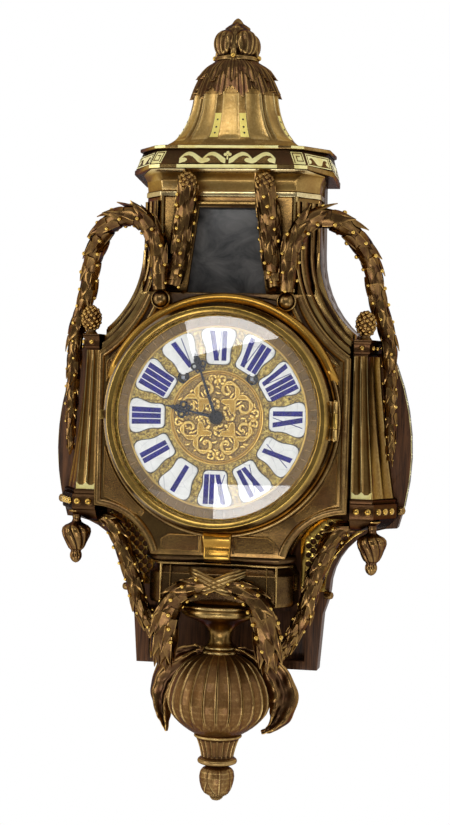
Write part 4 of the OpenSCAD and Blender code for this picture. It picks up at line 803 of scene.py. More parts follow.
dial = {
    "face": 102.0, "medallion": 40, "rimOut": 43.4, "trackIn": 82.2, "trackOut": 92.8,
    "cartoucheHalf": [
        (48.2, 6.5), (48.6, 8.6), (50.4, 10.4), (53.5, 11.0), (57, 10.9), (60.5, 11.1), (64, 12.0),
        (67.5, 13.5), (71, 14.9), (74.5, 15.6), (77.6, 15.0), (79.6, 13.2), (80.7, 10.4), (81.2, 6.0)],
    # step inwards from the plaque's edge, or outwards for its border, and height over the dial
    "enamelSteps": [(0, -0.4), (0, 0.7), (0.25, 1.15), (0.8, 1.45), (1.6, 1.5)],
    "borderSteps": [(0.9, -0.4), (0.9, 0.35), (0.2, 0.55)],
    "tickRadius": 88.2, "tickSize": (5.6, 0.8, 0.6), "windingAt": (31.6, 35.5),
    "cartoucheMiddle": 64.5, "trackHigh": 0.8, "enamelHigh": 1.5, "numeralFrom": 51.5, "numeralTo": 78.5,
    "strokeWide": 4.3, "hairline": 0.7, "strokeGap": 0.8, "numeralWide": 23,
    "numerals": ["VI", "VII", "VIII", "IX", "X", "XI", "XII", "I", "II", "III", "IIII", "V"],
}


def dialPlace(angle, across, out, deep):
    # across is clockwise at a place given by its clockwise angle from the top
    turn = math.radians(angle)
    x = out * math.sin(turn) + across * math.cos(turn)
    up = out * math.cos(turn) - across * math.sin(turn)
    return place(x, up, deep)


def cartouches(look):
    half = look["cartoucheHalf"]
    outline = [(w, r) for r, w in half] + [(-w, r) for r, w in reversed(half)]
    middle = look["cartoucheMiddle"]
    enamel, border = [], []
    for i in range(12):
        rings = []
        for inset, high in look["enamelSteps"]:
            ring = []
            for w, r in outline:
                away = Vector((w, r - middle))
                ring.append(away - away.normalized() * inset)
            rings.append([dialPlace(30 * i, p.x, p.y + middle, look["face"] + high) for p in ring])
        enamel.append(sweep(rings, whiteEnamel))
        dark = []
        for grow, high in look["borderSteps"]:
            dark.append([dialPlace(30 * i, w * (1 + grow / abs(w)), middle + (r - middle) * (1 + grow / 17),
                                   look["face"] + high) for w, r in outline])
        border.append(sweep(dark, ebonised))
    finishPiece("enamelCartouches", enamel, ["enamel_cartouches"])
    finishPiece("cartoucheBorders", border)


def numeralStrokes(text, look):
    # Strokes as pairs of left edges at foot and head with a width, before they are centred
    wide, hair, gap = look["strokeWide"], look["hairline"], look["strokeGap"]
    strokes, x = [], 0
    for letter in text:
        if letter == "I":
            strokes.append((x, x, wide))
            x += wide + gap
        if letter == "V":
            strokes += [(x + 4.0, x, wide), (x + 6.8, x + 9.6, hair)]
            x += 10.6
        if letter == "X":
            strokes += [(x + 5.2, x, wide), (x + 0.4, x + 8.6, hair)]
            x += 10.0
    return strokes, x - gap


def numerals(look):
    points, faces = [], []
    low, high = look["face"] + look["enamelHigh"] - 0.1, look["face"] + look["enamelHigh"] + 0.09
    for i, text in enumerate(look["numerals"]):
        strokes, width = numeralStrokes(text, look)
        shrink = min(1, look["numeralWide"] / width)
        for foot, head, wide in strokes:
            first = len(points)
            for deep in (low, high):
                for x, out in ((foot, "From"), (foot + wide, "From"), (head + wide, "To"), (head, "To")):
                    flare = 1.0 if out == "From" else 1.1
                    across = (x - width / 2) * shrink * flare
                    points.append(dialPlace(30 * i, across, look["numeral" + out], deep))
            faces += [tuple(first + k for k in face) for face in (
                (0, 1, 2, 3), (4, 5, 6, 7), (0, 1, 5, 4), (1, 2, 6, 5), (2, 3, 7, 6), (3, 0, 4, 7))]
    finishPiece("blueNumerals", coated(cleanMesh(points, faces), blueEnamel))


def circlePoints(x, up, r, count=28):
    return [(x + r * math.sin(2 * math.pi * k / count), up + r * math.cos(2 * math.pi * k / count))
            for k in range(count)]


def scroll(out, at, hand, size, turns, wide, stem):
    # A tapering scroll of foliage: a stem from one side, curling in on its centre, as x, up and half width
    marks = []
    cx, cy = out * math.sin(math.radians(at)), out * math.cos(math.radians(at))
    for k in range(90):
        share = k / 89
        reach = size * (1 - share) ** 0.8 + 0.4
        turn = math.radians(at + stem) + hand * 2 * math.pi * turns * share
        leafy = 1 + 0.3 * math.sin(34 * share) * (1 - share)
        half = wide * (1 - 0.55 * share) * leafy
        marks.append((cx + reach * math.sin(turn), cy + reach * math.cos(turn), half))
    return marks


def medallion(look):
    # Scrolled foliage standing on a punched ground
    strokes = []
    for k in range(8):
        hand = 1 if k % 2 else -1
        strokes += scroll(26.5, 45 * k + 22.5, hand, 10.2, 1.3, 2.7, 180)
        strokes += scroll(35.2, 45 * k + 22.5 + 14 * hand, -hand, 4.0, 1.1, 1.5, 150)
        strokes += scroll(13.0, 45 * k + 14 * hand, hand, 4.8, 1.0, 1.8, 160)
        for leaf in (-22, 0, 22):  # leaves fanned on the axes
            lean = math.radians(45 * k + leaf * 0.5)
            foot = 19.5 if k % 2 else 29
            for j in range(14):
                r = foot + 8.2 * j / 13
                half = 1.25 * math.sin(math.pi * (j + 1.5) / 16)
                strokes.append((r * math.sin(lean), r * math.cos(lean), half))
    for k in range(70):  # small curved leaves that fill the ground between the scrolls
        r, at, lean = 38 * math.sqrt((k + 6) / 76), goldenAngle * k, 1.7 * k
        x, up = r * math.sin(at), r * math.cos(at)
        for j in range(9):
            bend = lean + 0.16 * j
            strokes.append((x, up, 1.2 * math.sin(math.pi * (j + 1) / 11)))
            x, up = x + 0.6 * math.sin(bend), up + 0.6 * math.cos(bend)
    strokes = np.array(strokes)
    rings, sides = 96, 400
    grid = [(0, 0)]
    for i in range(1, rings + 1):
        r = look["medallion"] * i / rings
        grid += circlePoints(0, 0, r, sides)
    grid = np.array(grid)
    high = np.zeros(len(grid))
    for part in np.array_split(np.arange(len(strokes)), 40):
        away = ((grid[:, None, :] - strokes[None, part, :2]) ** 2).sum(2)
        high = np.maximum(high, np.sqrt(np.maximum(0, strokes[part, 2] ** 2 - away)).max(1))
    high = np.minimum(high, 2.0) * np.clip((look["medallion"] - np.hypot(*grid.T)) / 1.2, 0, 1)
    faces = [(0, 1 + k, 1 + (k + 1) % sides) for k in range(sides)]
    for i in range(rings - 1):
        for k in range(sides):
            a, b = 1 + i * sides + k, 1 + i * sides + (k + 1) % sides
            faces.append((a, a + sides, b + sides, b))
    ground = [int(max(high[v] for v in face) < 0.25) for face in faces]
    points = [place(x, up, look["face"] + 0.1 + lift) for (x, up), lift in zip(grid, high)]
    mesh = coated(cleanMesh(points, faces, ground), foliageGilt, punchedGilt)
    finishPiece("dialMedallion", mesh, sharp=80)


def dialRings(look):
    # The medallion's rim, the sunk minute ring between two bright lines, and collars round the winding holes
    foot, top = look["face"] - 0.2, look["trackHigh"] + 0.2
    rim = ((0.0, 0.9), (0.2, 1.6), (0.4, 1.1), (0.55, 1.6), (0.8, 2.0), (1.0, 0.8))
    inLine = ((0.0, 0.6), (0.2, top + 0.4), (0.5, top + 0.7), (0.8, top + 0.4), (1.0, top))
    track = ((0.0, top + 0.12), (1.0, top + 0.12))
    outLine = ((0.0, top + 0.1), (0.5, top + 0.6), (1.0, top + 0.2))
    rings = []
    for inner, outer, shape, finish in (
            (look["medallion"] - 0.3, look["rimOut"], rim, mattGilt),
            (look["trackIn"] - 0.9, look["trackIn"] + 1.2, inLine, mattGilt),
            (look["trackIn"] + 1, look["trackOut"] - 0.6, track, trackBrass),
            (look["trackOut"] - 1.0, look["trackOut"], outLine, mattGilt)):
        rings.append(lathe(ringProfile(inner, outer, foot, shape), (0, 0, 0), finish))
    collar = ringProfile(3.9, 5.6, foot, ((0.0, 1.0), (0.3, 1.7), (0.7, 1.6), (1.0, 0.7)))
    x, up = look["windingAt"]
    for hand in (-1, 1):
        rings.append(lathe(collar, (hand * x, up, 0), bluedSteel, 48))
    finishPiece("dialRings", rings)


cartouches(dial)
numerals(dial)
medallion(dial)
dialRings(dial)
dressNode("dial_plate", engravedGilt, 0.2)

upright = Matrix.Rotation(math.radians(90), 4, "X")

# Pierced hands, cut from blued sheet: a tapered blade with a trefoil of rings
hands = {
    "minuteHand": {"node": "minute_hand", "body": "minute_hand", "turn": -20, "length": 62, "cluster": 50,
                   "lobe": 3.3, "from": 106.5, "thick": 0.8, "boss": 6.4, "bossTop": 3.4},
    "hourHand": {"node": "hour_hand", "body": "hour_hand", "turn": -78, "length": 50, "cluster": 32,
                 "lobe": 3.6, "from": 104.5, "thick": 0.8, "boss": 6.0, "bossTop": 0.4},
}


def flatCut(outlines, thick, ease, stand, finish):
    # A flat sheet cut to outlines in x and y, with its middle put on a stand's plane
    lines = [[(x * millimetre, up * millimetre, 0) for x, up in outline] for outline in outlines]
    data = polyCurve("sheet", lines, True)
    data.fill_mode = "BOTH"
    data.extrude = (thick / 2 - ease) * millimetre
    data.bevel_depth = ease * millimetre
    mesh = plainMesh(linked("sheet", data))
    mesh.transform(stand)
    return weld(coated(mesh, finish))


def makeHand(name, look):
    mid, lobe, thick = look["cluster"], look["lobe"], look["thick"]
    blade = [(-1.5, 3), (-0.75, mid - 2.2 * lobe), (-1.3, mid - 1.6 * lobe), (-0.7, mid),
             (-1.9, mid + 2.6 * lobe), (-0.9, mid + 3 * lobe), (0, look["length"])]
    blade += [(-x, up) for x, up in reversed(blade[:-1])]
    turned = upright @ Matrix.Rotation(math.radians(-look["turn"]), 4, "Z")
    stand = Matrix.Translation(place(0, 0, look["from"] + thick / 2)) @ turned
    cuts = [flatCut([blade], thick, 0.12, stand, bluedSteel)]
    for x, up, r in ((-1.25, 0, 1), (1.25, 0, 1), (0, 1.35, 0.9), (-0.75, -1.35, 0.62), (0.75, -1.35, 0.62)):
        rings = [circlePoints(x * lobe, mid + up * lobe, r * lobe * share) for share in (1, 0.52)]
        cuts.append(flatCut(rings, thick, 0.12, stand, bluedSteel))
    low, high = look["from"], look["from"] + thick
    boss = [(look["boss"] * share, high + look["bossTop"] * rise)
            for share, rise in ((0, 1), (0.45, 0.9), (0.8, 0.55), (1, 0))]
    cuts.append(lathe(boss + [(look["boss"], low), (0, low)], (0, 0, 0), bluedSteel, 48))
    finishPiece(name, cuts, [look["node"]], look["body"])


for name, look in hands.items():
    makeHand(name, look)


def convexGlass():
    # A pane blown to a shallow dome
    glass = {"rim": 93.2, "seat": 107.3, "rise": 13.0, "thick": 1.6}
    profile = []
    sphere = (glass["rim"] ** 2 + glass["rise"] ** 2) / (2 * glass["rise"])
    for k in range(25):
        r = glass["rim"] * k / 24
        profile.append((r, glass["seat"] + glass["rise"] - sphere + math.sqrt(sphere ** 2 - r ** 2)))
    under = [(r, travel - glass["thick"]) for r, travel in reversed(profile)]
    pane = lathe(profile + under, (0, 0, 0), clearGlass, 160)
    finishPiece("convexGlass", pane, ["glass"], "bezel", 60)


convexGlass()


def ticksTree():
    # Bars round a ring, as on a minute track
    tree, given = newTree("minuteTicks", {
        "Int": ["Count"], "Float": ["Radius"], "Vector": ["Bar"], "Material": ["Finish"]})
    bar = addNode(tree, "GeometryNodeMeshCube", {"Size": given["Bar"]})
    ring = addNode(tree, "GeometryNodeMeshCircle", {"Vertices": given["Count"], "Radius": given["Radius"]})
    step = mathNode(tree, "DIVIDE", 2 * math.pi, given["Count"])
    index = addNode(tree, "GeometryNodeInputIndex").outputs[0]
    spin = addNode(tree, "ShaderNodeCombineXYZ", {"Z": mathNode(tree, "MULTIPLY", index, step)})
    toTurn = addNode(tree, "FunctionNodeEulerToRotation", {0: spin.outputs[0]})
    laid = addNode(tree, "GeometryNodeInstanceOnPoints", {
        "Points": ring.outputs[0], "Instance": bar.outputs[0], "Rotation": toTurn.outputs[0]})
    real = addNode(tree, "GeometryNodeRealizeInstances", {0: laid.outputs[0]})
    done = addNode(tree, "GeometryNodeSetMaterial", {
        "Geometry": real.outputs[0], "Material": given["Finish"]})
    addNode(tree, "NodeGroupOutput", {0: done.outputs[0]})
    return tree


tickNodes = ticksTree()


def minuteTrack(look):
    seed = linked("trackSeed", bpy.data.meshes.new("trackSeed"))
    bar = [size * millimetre for size in look["tickSize"]]
    bars = runTree(seed, tickNodes, {
        "Count": 60, "Radius": look["tickRadius"] * millimetre, "Bar": bar, "Finish": shadedFrontBronze})
    bars.transform(Matrix.Translation(place(0, 0, look["face"] + look["trackHigh"] + 0.1)) @ upright)
    finishPiece("minuteTrack", bars)


minuteTrack(dial)
print("dial made")


# The crown: fluted dome, acanthus collar, curled finial and inlaid cornice
def between(table, at):
    # Straight steps through a table of pairs
    for (a, low), (b, high) in zip(table, table[1:]):
        if a <= at <= b and a < b:
            return low + (high - low) * (at - a) / (b - a)
    return table[0][1] if at < table[0][0] else table[-1][1]


def ramp(at, low, high):
    share = min(1, max(0, (at - low) / (high - low)))
    return share * share * (3 - 2 * share)


def lobeAngle(turn, step, shift=0):
    # Degrees from the nearest of evenly spread centres
    return (math.degrees(turn) - shift + step / 2) % step - step / 2


crown = {
    "axisDeep": 49, "frontReach": 34, "backReach": 46, "seat": 20, "wide": 70, "collarTop": 329.6,
    "reach": [
        (249, 72), (250, 69), (251.5, 65), (254, 60.5), (258, 55.5), (263, 51.2), (268, 48), (272.5, 45.8),
        (277, 44), (283, 42.1), (290, 40.5), (298, 39.3), (303, 38), (308, 36), (313, 33.6), (318, 30.9),
        (322, 28), (326, 24.3), (329, 20.3), (330, 18)],
    "fluteHalf": 9.6, "fluteDeep": 2.9, "fluteFrom": 255, "fluteFull": 260, "fluteTo": 297,
    "stripHalf": 4.4, "stripFrom": 256.5, "stripTo": 279,
}


def crownPlace(look, reach, turn, up):
    # turn runs from the front towards the right; the foot fills the cornice and the seat is round
    deepest = look["frontReach"] if math.cos(turn) > 0 else look["backReach"]
    seat, share = look["seat"], 1
    if reach > seat:
        share = (seat + (reach - seat) * (deepest - seat) / (look["wide"] - seat)) / reach
    return place(reach * math.sin(turn), up, look["axisDeep"] + reach * share * math.cos(turn))


def domeReach(look, turn, up):
    base = between(look["reach"], up)
    corner = math.radians(lobeAngle(turn, 45, 22.5))
    flat = math.cos(math.radians(22.5)) / math.cos(math.radians(22.5) - abs(corner))
    roundness = ramp(up, 250, 262)
    base *= roundness + (1 - roundness) * flat * 1.03
    depth = ramp(up, look["fluteFrom"], look["fluteFull"])
    away = abs(lobeAngle(turn, 30))
    if away < look["fluteHalf"]:
        return base - look["fluteDeep"] * depth * (1 - (away / look["fluteHalf"]) ** 2) ** 0.8
    # Ridges on the diagonals are split by a groove, the others are flat strips
    ridge = abs(lobeAngle(turn, 90, 45))
    if ridge < 6:
        return base + depth * (0.7 - 1.5 * math.exp(-(ridge / 1.5) ** 2))
    return base + 0.3 * depth


def dome(look):
    sides, levels = 360, [249, 249.4, 250, 250.7] + [251.5 + 0.9 * k for k in range(60)]
    points, finish = [], []
    for up in levels:
        for k in range(sides):
            turn = math.radians(k)
            points.append(crownPlace(look, domeReach(look, turn, up), turn, up))
    for up in levels[:-1]:
        for k in range(sides):
            middle = k + 0.5
            strip = abs(middle % 30 - 15) < look["stripHalf"] and abs((middle + 45) % 90 - 45) < 30
            flute = look["fluteFrom"] < up < look["fluteTo"]
            flute = flute and abs((middle + 15) % 30 - 15) < look["fluteHalf"]
            finish.append(1 if strip and look["stripFrom"] < up < look["stripTo"] else 2 if flute else 0)
    shell = cleanMesh(points, ringFaces(len(levels), sides), finish)
    parts = [coated(shell, goldenBronze, paleGilt, fluteGilt)]
    for turnAt in [15 + 30 * k for k in range(12) if k % 3 != 1]:
        for up in (261, 266.5, 273.5):
            turn = math.radians(turnAt)
            spot = crownPlace(look, domeReach(look, turn, up) + 0.05, turn, up)
            out = (spot - place(0, up - 14, look["axisDeep"])).normalized()
            parts.append(discMesh(spot, out, 0.95, 0.35, ebonised))
    finishPiece("flutedDome", parts, ["dome"], sharp=50)


def discMesh(spot, out, r, high, finish, sides=14):
    # A small round stud standing on a surface
    turned = out.to_track_quat("Z", "Y").to_matrix()
    rows = []
    for share, lift in ((1, -0.6), (1, 0.35), (0.8, 0.8), (0.4, 1.0)):
        row = []
        for k in range(sides):
            at = 2 * math.pi * k / sides
            step = Vector((r * share * math.cos(at), r * share * math.sin(at), high * lift))
            row.append(spot + turned @ step * millimetre)
        rows.append(row)
    return sweep(rows, finish)


def collarLeaves(look, shift, foot, length, lift):
    # A ring of twelve ribbed leaves with pointed tips
    sides, steps = 720, 24
    points, faces = [], []
    for k in range(sides):
        turn = 2 * math.pi * k / sides
        away = lobeAngle(turn, 30, shift)
        off = abs(away) / 15
        drop = length * (1 + 0.3 * math.sin(2.3 * turn + shift) + 0.35 * math.cos(turn))
        low = foot - drop * (1 - off) ** 1.2 + 0.9 * math.cos(math.radians(away * 72)) * (0.3 + off)
        vein = 0.55 * math.cos(math.radians(away * 48)) + 0.6 * math.exp(-(away / 1.6) ** 2)
        swell = 1.3 * (1 - off ** 2) - 1.0 * math.exp(-((1 - off) / 0.1) ** 2)
        for i in range(steps + 1):
            share = i / steps
            up = low + (look["collarTop"] - low) * share
            rise = (lift + vein + swell) * (1 - 0.7 * ramp(share, 0.5, 1)) + 1.4 * (1 - share) ** 6
            points.append(crownPlace(look, between(look["reach"], up) + rise, turn, up))
        points.append(crownPlace(look, between(look["reach"], low) - 1.5, turn, low + 0.6))
    row = steps + 2
    for k in range(sides):
        m = (k + 1) % sides
        for i in range(steps):
            faces.append((k * row + i, m * row + i, m * row + i + 1, k * row + i + 1))
        faces.append((k * row, k * row + steps + 1, m * row + steps + 1, m * row))
    return coated(cleanMesh(points, faces), leafBronze)


def acanthusCollar(look):
    leaves = [collarLeaves(look, 0, 318, 6.5, 2.0), collarLeaves(look, 15, 304.5, 8, 0.4)]
    finishPiece("acanthusCollar", leaves, sharp=70)


finialLook = {
    "profile": [
        (329, 17), (329.6, 19.2), (331, 20.2), (333, 20.2), (334.2, 19.2), (335, 17.4), (337, 15.6),
        (345, 15), (352, 14.4), (356, 13.4), (359.3, 11.8), (361.6, 9.8), (362.6, 8.6), (363.6, 7.0),
        (364.6, 5.9), (366, 5.2), (367.6, 4.2), (369.2, 2.9), (370.4, 1.5), (371, 0)],
    "stem": [
        (333, 20.8), (338, 20.4), (344, 18.8), (350, 16.6), (355, 14.4), (359, 12), (362, 9.6), (364.6, 6.4),
        (371, 0)],
    "stemHalf": 2.7, "lobeAt": 345.5, "lobeOut": 12.5, "lobeWide": 11.5, "lobeHigh": 13.2,
}


def finialReach(look, turn, up):
    # Four ribbed curls on the diagonals, with a stem rising in each notch between them
    away = lobeAngle(turn, 90, 45)
    reach = between(look["profile"], up)
    level = 1 - ((up - look["lobeAt"]) / look["lobeHigh"]) ** 2
    left = level * look["lobeWide"] ** 2 - (look["lobeOut"] * math.sin(math.radians(away))) ** 2
    if level > 0 and left > 0:
        rib = 0.5 * math.cos(math.radians(abs(away) * 27 - 3.2 * (up - look["lobeAt"]))) * ramp(left, 8, 60)
        reach = max(reach, look["lobeOut"] * math.cos(math.radians(away)) + math.sqrt(left) + rib)
    stem = between(look["stem"], up)
    off = math.radians(45 - abs(away)) * stem / look["stemHalf"]
    if off < 1:
        reach = max(reach, stem - 0.9 * off ** 2)
    tipLobes = ramp(up, 359, 361.5) * (1 - ramp(up, 364, 366))
    return max(0, reach * (1 + 0.16 * tipLobes * math.cos(4 * turn)))


def finial(crownLook, look):
    sides = 360
    levels = [329, 329.6, 330.3, 331] + [331.6 + 0.56 * k for k in range(70)] + [370.9, 371]
    points = []
    for up in levels:
        for k in range(sides):
            turn = 2 * math.pi * k / sides
            points.append(crownPlace(crownLook, finialReach(look, turn, up), turn, up))
    parts = [coated(cleanMesh(points, ringFaces(len(levels), sides)), agedBronze)]
    for turnAt in (0, 90, 180, 270):
        turn = math.radians(turnAt)
        out = Vector((math.sin(turn), -math.cos(turn), 0))
        parts.append(discMesh(crownPlace(crownLook, 20.4, turn, 333.4), out, 2.4, 2.4, burnished))
    finishPiece("curledFinial", parts, ["top_finial"], sharp=70)


dome(crown)
acanthusCollar(crown)
finial(crown, finialLook)

cornice = {
    "plan": [(62.1, 88), (73.85, 82), (94, 52.25), (94, 1)],
    "foot": 227, "dip": 9, "wave": 21.5,
    # height above the foot and step inwards
    "levels": [
        (0, 3.5), (0, 0.5), (0.5, 0), (3.6, 0), (4, 0.4), (4.4, 0.9), (17.4, 6.1), (18, 6.2), (18.6, 4.4),
        (19.2, 4), (21.5, 4), (22, 4.5), (22, 9)],
}


def cornicePoints(look, high, step):
    # One level's outline from the left wall round the front to the right wall
    half = []
    for x, deep in look["plan"]:
        sunk = look["dip"] * max(0, 82 - deep) / 81 * (1 - min(1, high / 18))
        half.append((x - step, look["foot"] + high - sunk, deep - step if deep > 30 else deep))
    return [place(-x, up, deep) for x, up, deep in reversed(half)] + [place(*p) for p in half]


def sheetStand(low, high, k, thick):
    # The plane of one face of a cornice band, from its middle at the foot
    across = ((low[k + 1] - low[k]).normalized() + (high[k + 1] - high[k]).normalized()).normalized()
    foot, head = (low[k] + low[k + 1]) / 2, (high[k] + high[k + 1]) / 2
    up = (head - foot).normalized()
    out = across.cross(up).normalized()
    turned = Matrix((across, up, out)).transposed().to_4x4()
    return Matrix.Translation(foot + out * (thick / 2 - 0.05) * millimetre) @ turned


def bar(x, y, wide, high):
    return [(x, y), (x + wide, y), (x + wide, y + high), (x, y + high)]


def waveShapes(wave, count, hand, foot, high):
    # A running scroll from the middle outwards: the pale band and the dark fins upon it
    start = 1.6
    band = [(hand * start, foot)]
    for k in range(count * 16 + 1):
        share = (k % 16) / 16
        crest = math.sin(math.pi * share ** 1.25) ** 0.9
        band.append((hand * (start + wave * k / 16), foot + high * (0.4 + 0.6 * crest)))
    band.append((hand * (start + wave * count), foot))
    fin = [(0.08, 0.0), (0.2, 0.1), (0.3, 0.32), (0.44, 0.56), (0.6, 0.68), (0.78, 0.62), (0.87, 0.46),
           (0.77, 0.48), (0.68, 0.4), (0.66, 0.25), (0.74, 0.1), (0.92, 0.0)]
    fins = [[(hand * (start + wave * (k + x)), foot + high * y) for x, y in fin] for k in range(count)]
    return band, fins


def inlaidCornice(look):
    outlines = [cornicePoints(look, high, step) for high, step in look["levels"]]
    pale, dark = [], []

    def lay(k, outline, thick, finish=paleGilt, level=5):
        stand = sheetStand(outlines[level], outlines[level + 1], k, thick)
        kind = pale if finish == paleGilt else dark
        kind.append(flatCut([outline], thick, 0.08, stand, finish))

    def layDark(k, outline):
        lay(k, outline, 0.5, stippled)

    for level, high in ((2, 3.0), (9, 2.2)):
        for k, half in ((3, 46.5), (2, 6.2), (4, 6.2)):
            lay(k, bar(-half, 0.1, 2 * half, high), 0.3, level=level)
    for hand in (-1, 1):
        band, fins = waveShapes(look["wave"], 2, hand, 0.6, 11.5)
        lay(3, band, 0.35)
        for fin in fins:
            layDark(3, fin)
    for x, y, r in ((-2.1, 9.6, 1.5), (2.1, 9.6, 1.5), (0, 11.4, 1.5)):
        lay(3, circlePoints(x, y, r), 0.4)
    lay(3, bar(-0.6, 4.5, 1.2, 4.5), 0.35)
    key = ((-4.6, 1.4, 0.8, 11), (-4.6, 11.6, 9.2, 0.8), (3.8, 3.2, 0.8, 9.2), (-1.8, 3.2, 6, 0.8),
           (-1.8, 3.2, 0.8, 6), (-1.8, 8.4, 3.8, 0.8))
    for k in (2, 4):
        lay(k, bar(-5.6, 0.3, 11.2, 13.2), 0.35)
        for x, y, wide, tall in key:
            layDark(k, bar(x if k == 4 else -x - wide, y, wide, tall))
    for k, half in ((1, 16), (5, 16), (0, 23.5), (6, 23.5)):
        lay(k, bar(-half, 0.4, 2 * half, 12.8), 0.35)
        left, long = 1.2 - half, 2 * half - 2.4
        for x, y, wide, tall in ((left, 1.4, long, 0.7), (left, 11.4, long, 0.7),
                                 (left, 1.4, 0.7, 10.7), (half - 1.9, 1.4, 0.7, 10.7)):
            layDark(k, bar(x, y, wide, tall))
        first = 1 if k in (5, 6) else -1
        for hand in (first, -first):
            for fin in waveShapes(half * 0.9 - 2.2, 1, hand, 2.4, 10)[1]:
                layDark(k, fin)
    finishPiece("inlaidCornice", [sweep(outlines, agedBronze)] + pale + dark, ["cornice"])


inlaidCornice(cornice)
print("crown made")


# The foot: dish and neck, ribbed bulb, draped tails, fluted socket and bud
foot = {
    "axisDeep": 54,
    "dish": [
        (-173.5, 0), (-173.5, 33), (-174.2, 36), (-175.4, 37.4), (-176.6, 37.4), (-177.6, 36.2),
        (-178.4, 36.6), (-180, 37.6), (-182.4, 37.2), (-185, 34.6), (-187.6, 29), (-190, 23), (-192.6, 18),
        (-196, 14), (-200, 11.2), (-204, 10.2), (-208, 10.4), (-211, 11.8), (-213, 13.6), (-214.2, 15.4),
        (-215.4, 15.6), (-216.4, 14.6), (-217.2, 15.4), (-218.4, 16.8), (-219.8, 17), (-221.5, 16),
        (-221.5, 0)],
    "bulb": [
        (-296.4, 20), (-294, 24.5), (-291.7, 28.4), (-288.5, 33), (-285, 37.2), (-281, 41.2), (-276, 44.8),
        (-270, 47.2), (-264, 48), (-257, 47.4), (-250, 45.6), (-243, 42.6), (-237, 39), (-232, 35),
        (-228, 31), (-224.5, 26), (-222, 21.5), (-220.5, 18), (-219.6, 14)],
    "bulbRibs": 24, "ribDeep": 1.2,
    "socket": [
        (-325.6, 9), (-324.6, 13), (-323.6, 16.2), (-322.6, 18), (-321, 18.6), (-319.4, 18.2), (-318, 16.6),
        (-317, 15), (-314, 15.4), (-309, 16.6), (-304, 18.2), (-300, 19.8), (-299, 21), (-298, 22.4),
        (-296.8, 22.4), (-296, 21.6)],
    "bud": [
        (-358.6, 0), (-358.2, 1.8), (-357.2, 4.2), (-355.6, 5.8), (-354, 6.4), (-353, 8.6), (-351.4, 10.8),
        (-349, 12.4), (-345, 14), (-340, 15.3), (-335.5, 15.7), (-331, 15), (-328, 13.2), (-326, 10.4),
        (-324.6, 8)],
}


def turnedRings(table, step, sides, reachAt, axisDeep, finish):
    # Rings round an upright axis at even steps up a table, each reach worked out at every angle
    low, high = table[0][0], table[-1][0]
    count = round((high - low) / step)
    levels = [low + (high - low) * k / count for k in range(count + 1)]
    points = []
    for up in levels:
        for k in range(sides):
            turn = 2 * math.pi * k / sides
            reach = reachAt(turn, up)
            points.append(place(reach * math.sin(turn), up, axisDeep + reach * math.cos(turn)))
    faces = ringFaces(len(levels), sides)
    for first, up in ((0, levels[0]), (len(points) - sides, levels[-1])):
        if reachAt(0, up) > 0:
            faces.append(tuple(range(first, first + sides)))
    return coated(cleanMesh(points, faces), finish)


def dishAndNeck(look):
    profile = [(r, up) for up, r in look["dish"]]
    mesh = lathe(profile, (0, 0, look["axisDeep"]), goldenBronze, axis="up")
    finishPiece("dishAndNeck", mesh, ["neck_dish"], sharp=60)


def bulb(look):
    step = 360 / look["bulbRibs"]

    def reachAt(turn, up):
        away = abs(lobeAngle(turn, step)) / (step / 2)
        reach = between(look["bulb"], up)
        lowEnd = ramp(up, -290 + 7 * away, -283 + 7 * away)
        topEnd = 1 - 0.6 * ramp(up, -236, -222)
        hollow = -look["ribDeep"] * (1 - away ** 2) ** 0.7 if away < 1 else 0
        ridge = math.exp(-((0.86 - away) / 0.07) ** 2) - 0.9 * math.exp(-((1 - away) / 0.05) ** 2)
        return reach + lowEnd * topEnd * (hollow + ridge) * min(1, reach / 30)

    mesh = turnedRings(look["bulb"], 0.8, 480, reachAt, look["axisDeep"], footBronze)
    finishPiece("ribbedBulb", mesh, ["gadroon_bulb"], sharp=60)


def socket(look):
    def reachAt(turn, up):
        reach = between(look["socket"], up)
        band = ramp(up, -317.5, -315.5) * (1 - ramp(up, -301, -299.6))
        away = abs(lobeAngle(turn, 18)) / 9
        return reach - 1.5 * band * (1 - away ** 2) ** 0.8 + 0.3 * band

    mesh = turnedRings(look["socket"], 0.45, 320, reachAt, look["axisDeep"], footBronze)
    finishPiece("flutedSocket", mesh, ["fluted_socket"], sharp=60)


def bud(look):
    def reachAt(turn, up):
        reach = between(look["bud"], up)
        cup = ramp(up, -353, -347) * (1 - ramp(up, -330, -326))
        leaf = abs(lobeAngle(turn, 90, 20)) / 45
        tipAt = -352 + 14 * leaf ** 2
        petal = 1.1 * ramp(up, tipAt - 1.2, tipAt + 0.4) * (1 - leaf ** 4)
        vein = 0.4 * math.exp(-(leaf / 0.07) ** 2)
        grain = (1 - ramp(up, -352, -349)) * 0.9 * math.sin(7 * turn + 2.1 * up)
        grain *= math.sin(2.6 * up + 3 * turn)
        return max(0, reach + cup * (petal - 0.5 + vein) + grain * min(1, reach / 5))

    mesh = turnedRings(look["bud"], 0.42, 300, reachAt, look["axisDeep"], footBronze)
    finishPiece("bottomBud", mesh, ["bottom_bud"], sharp=80)


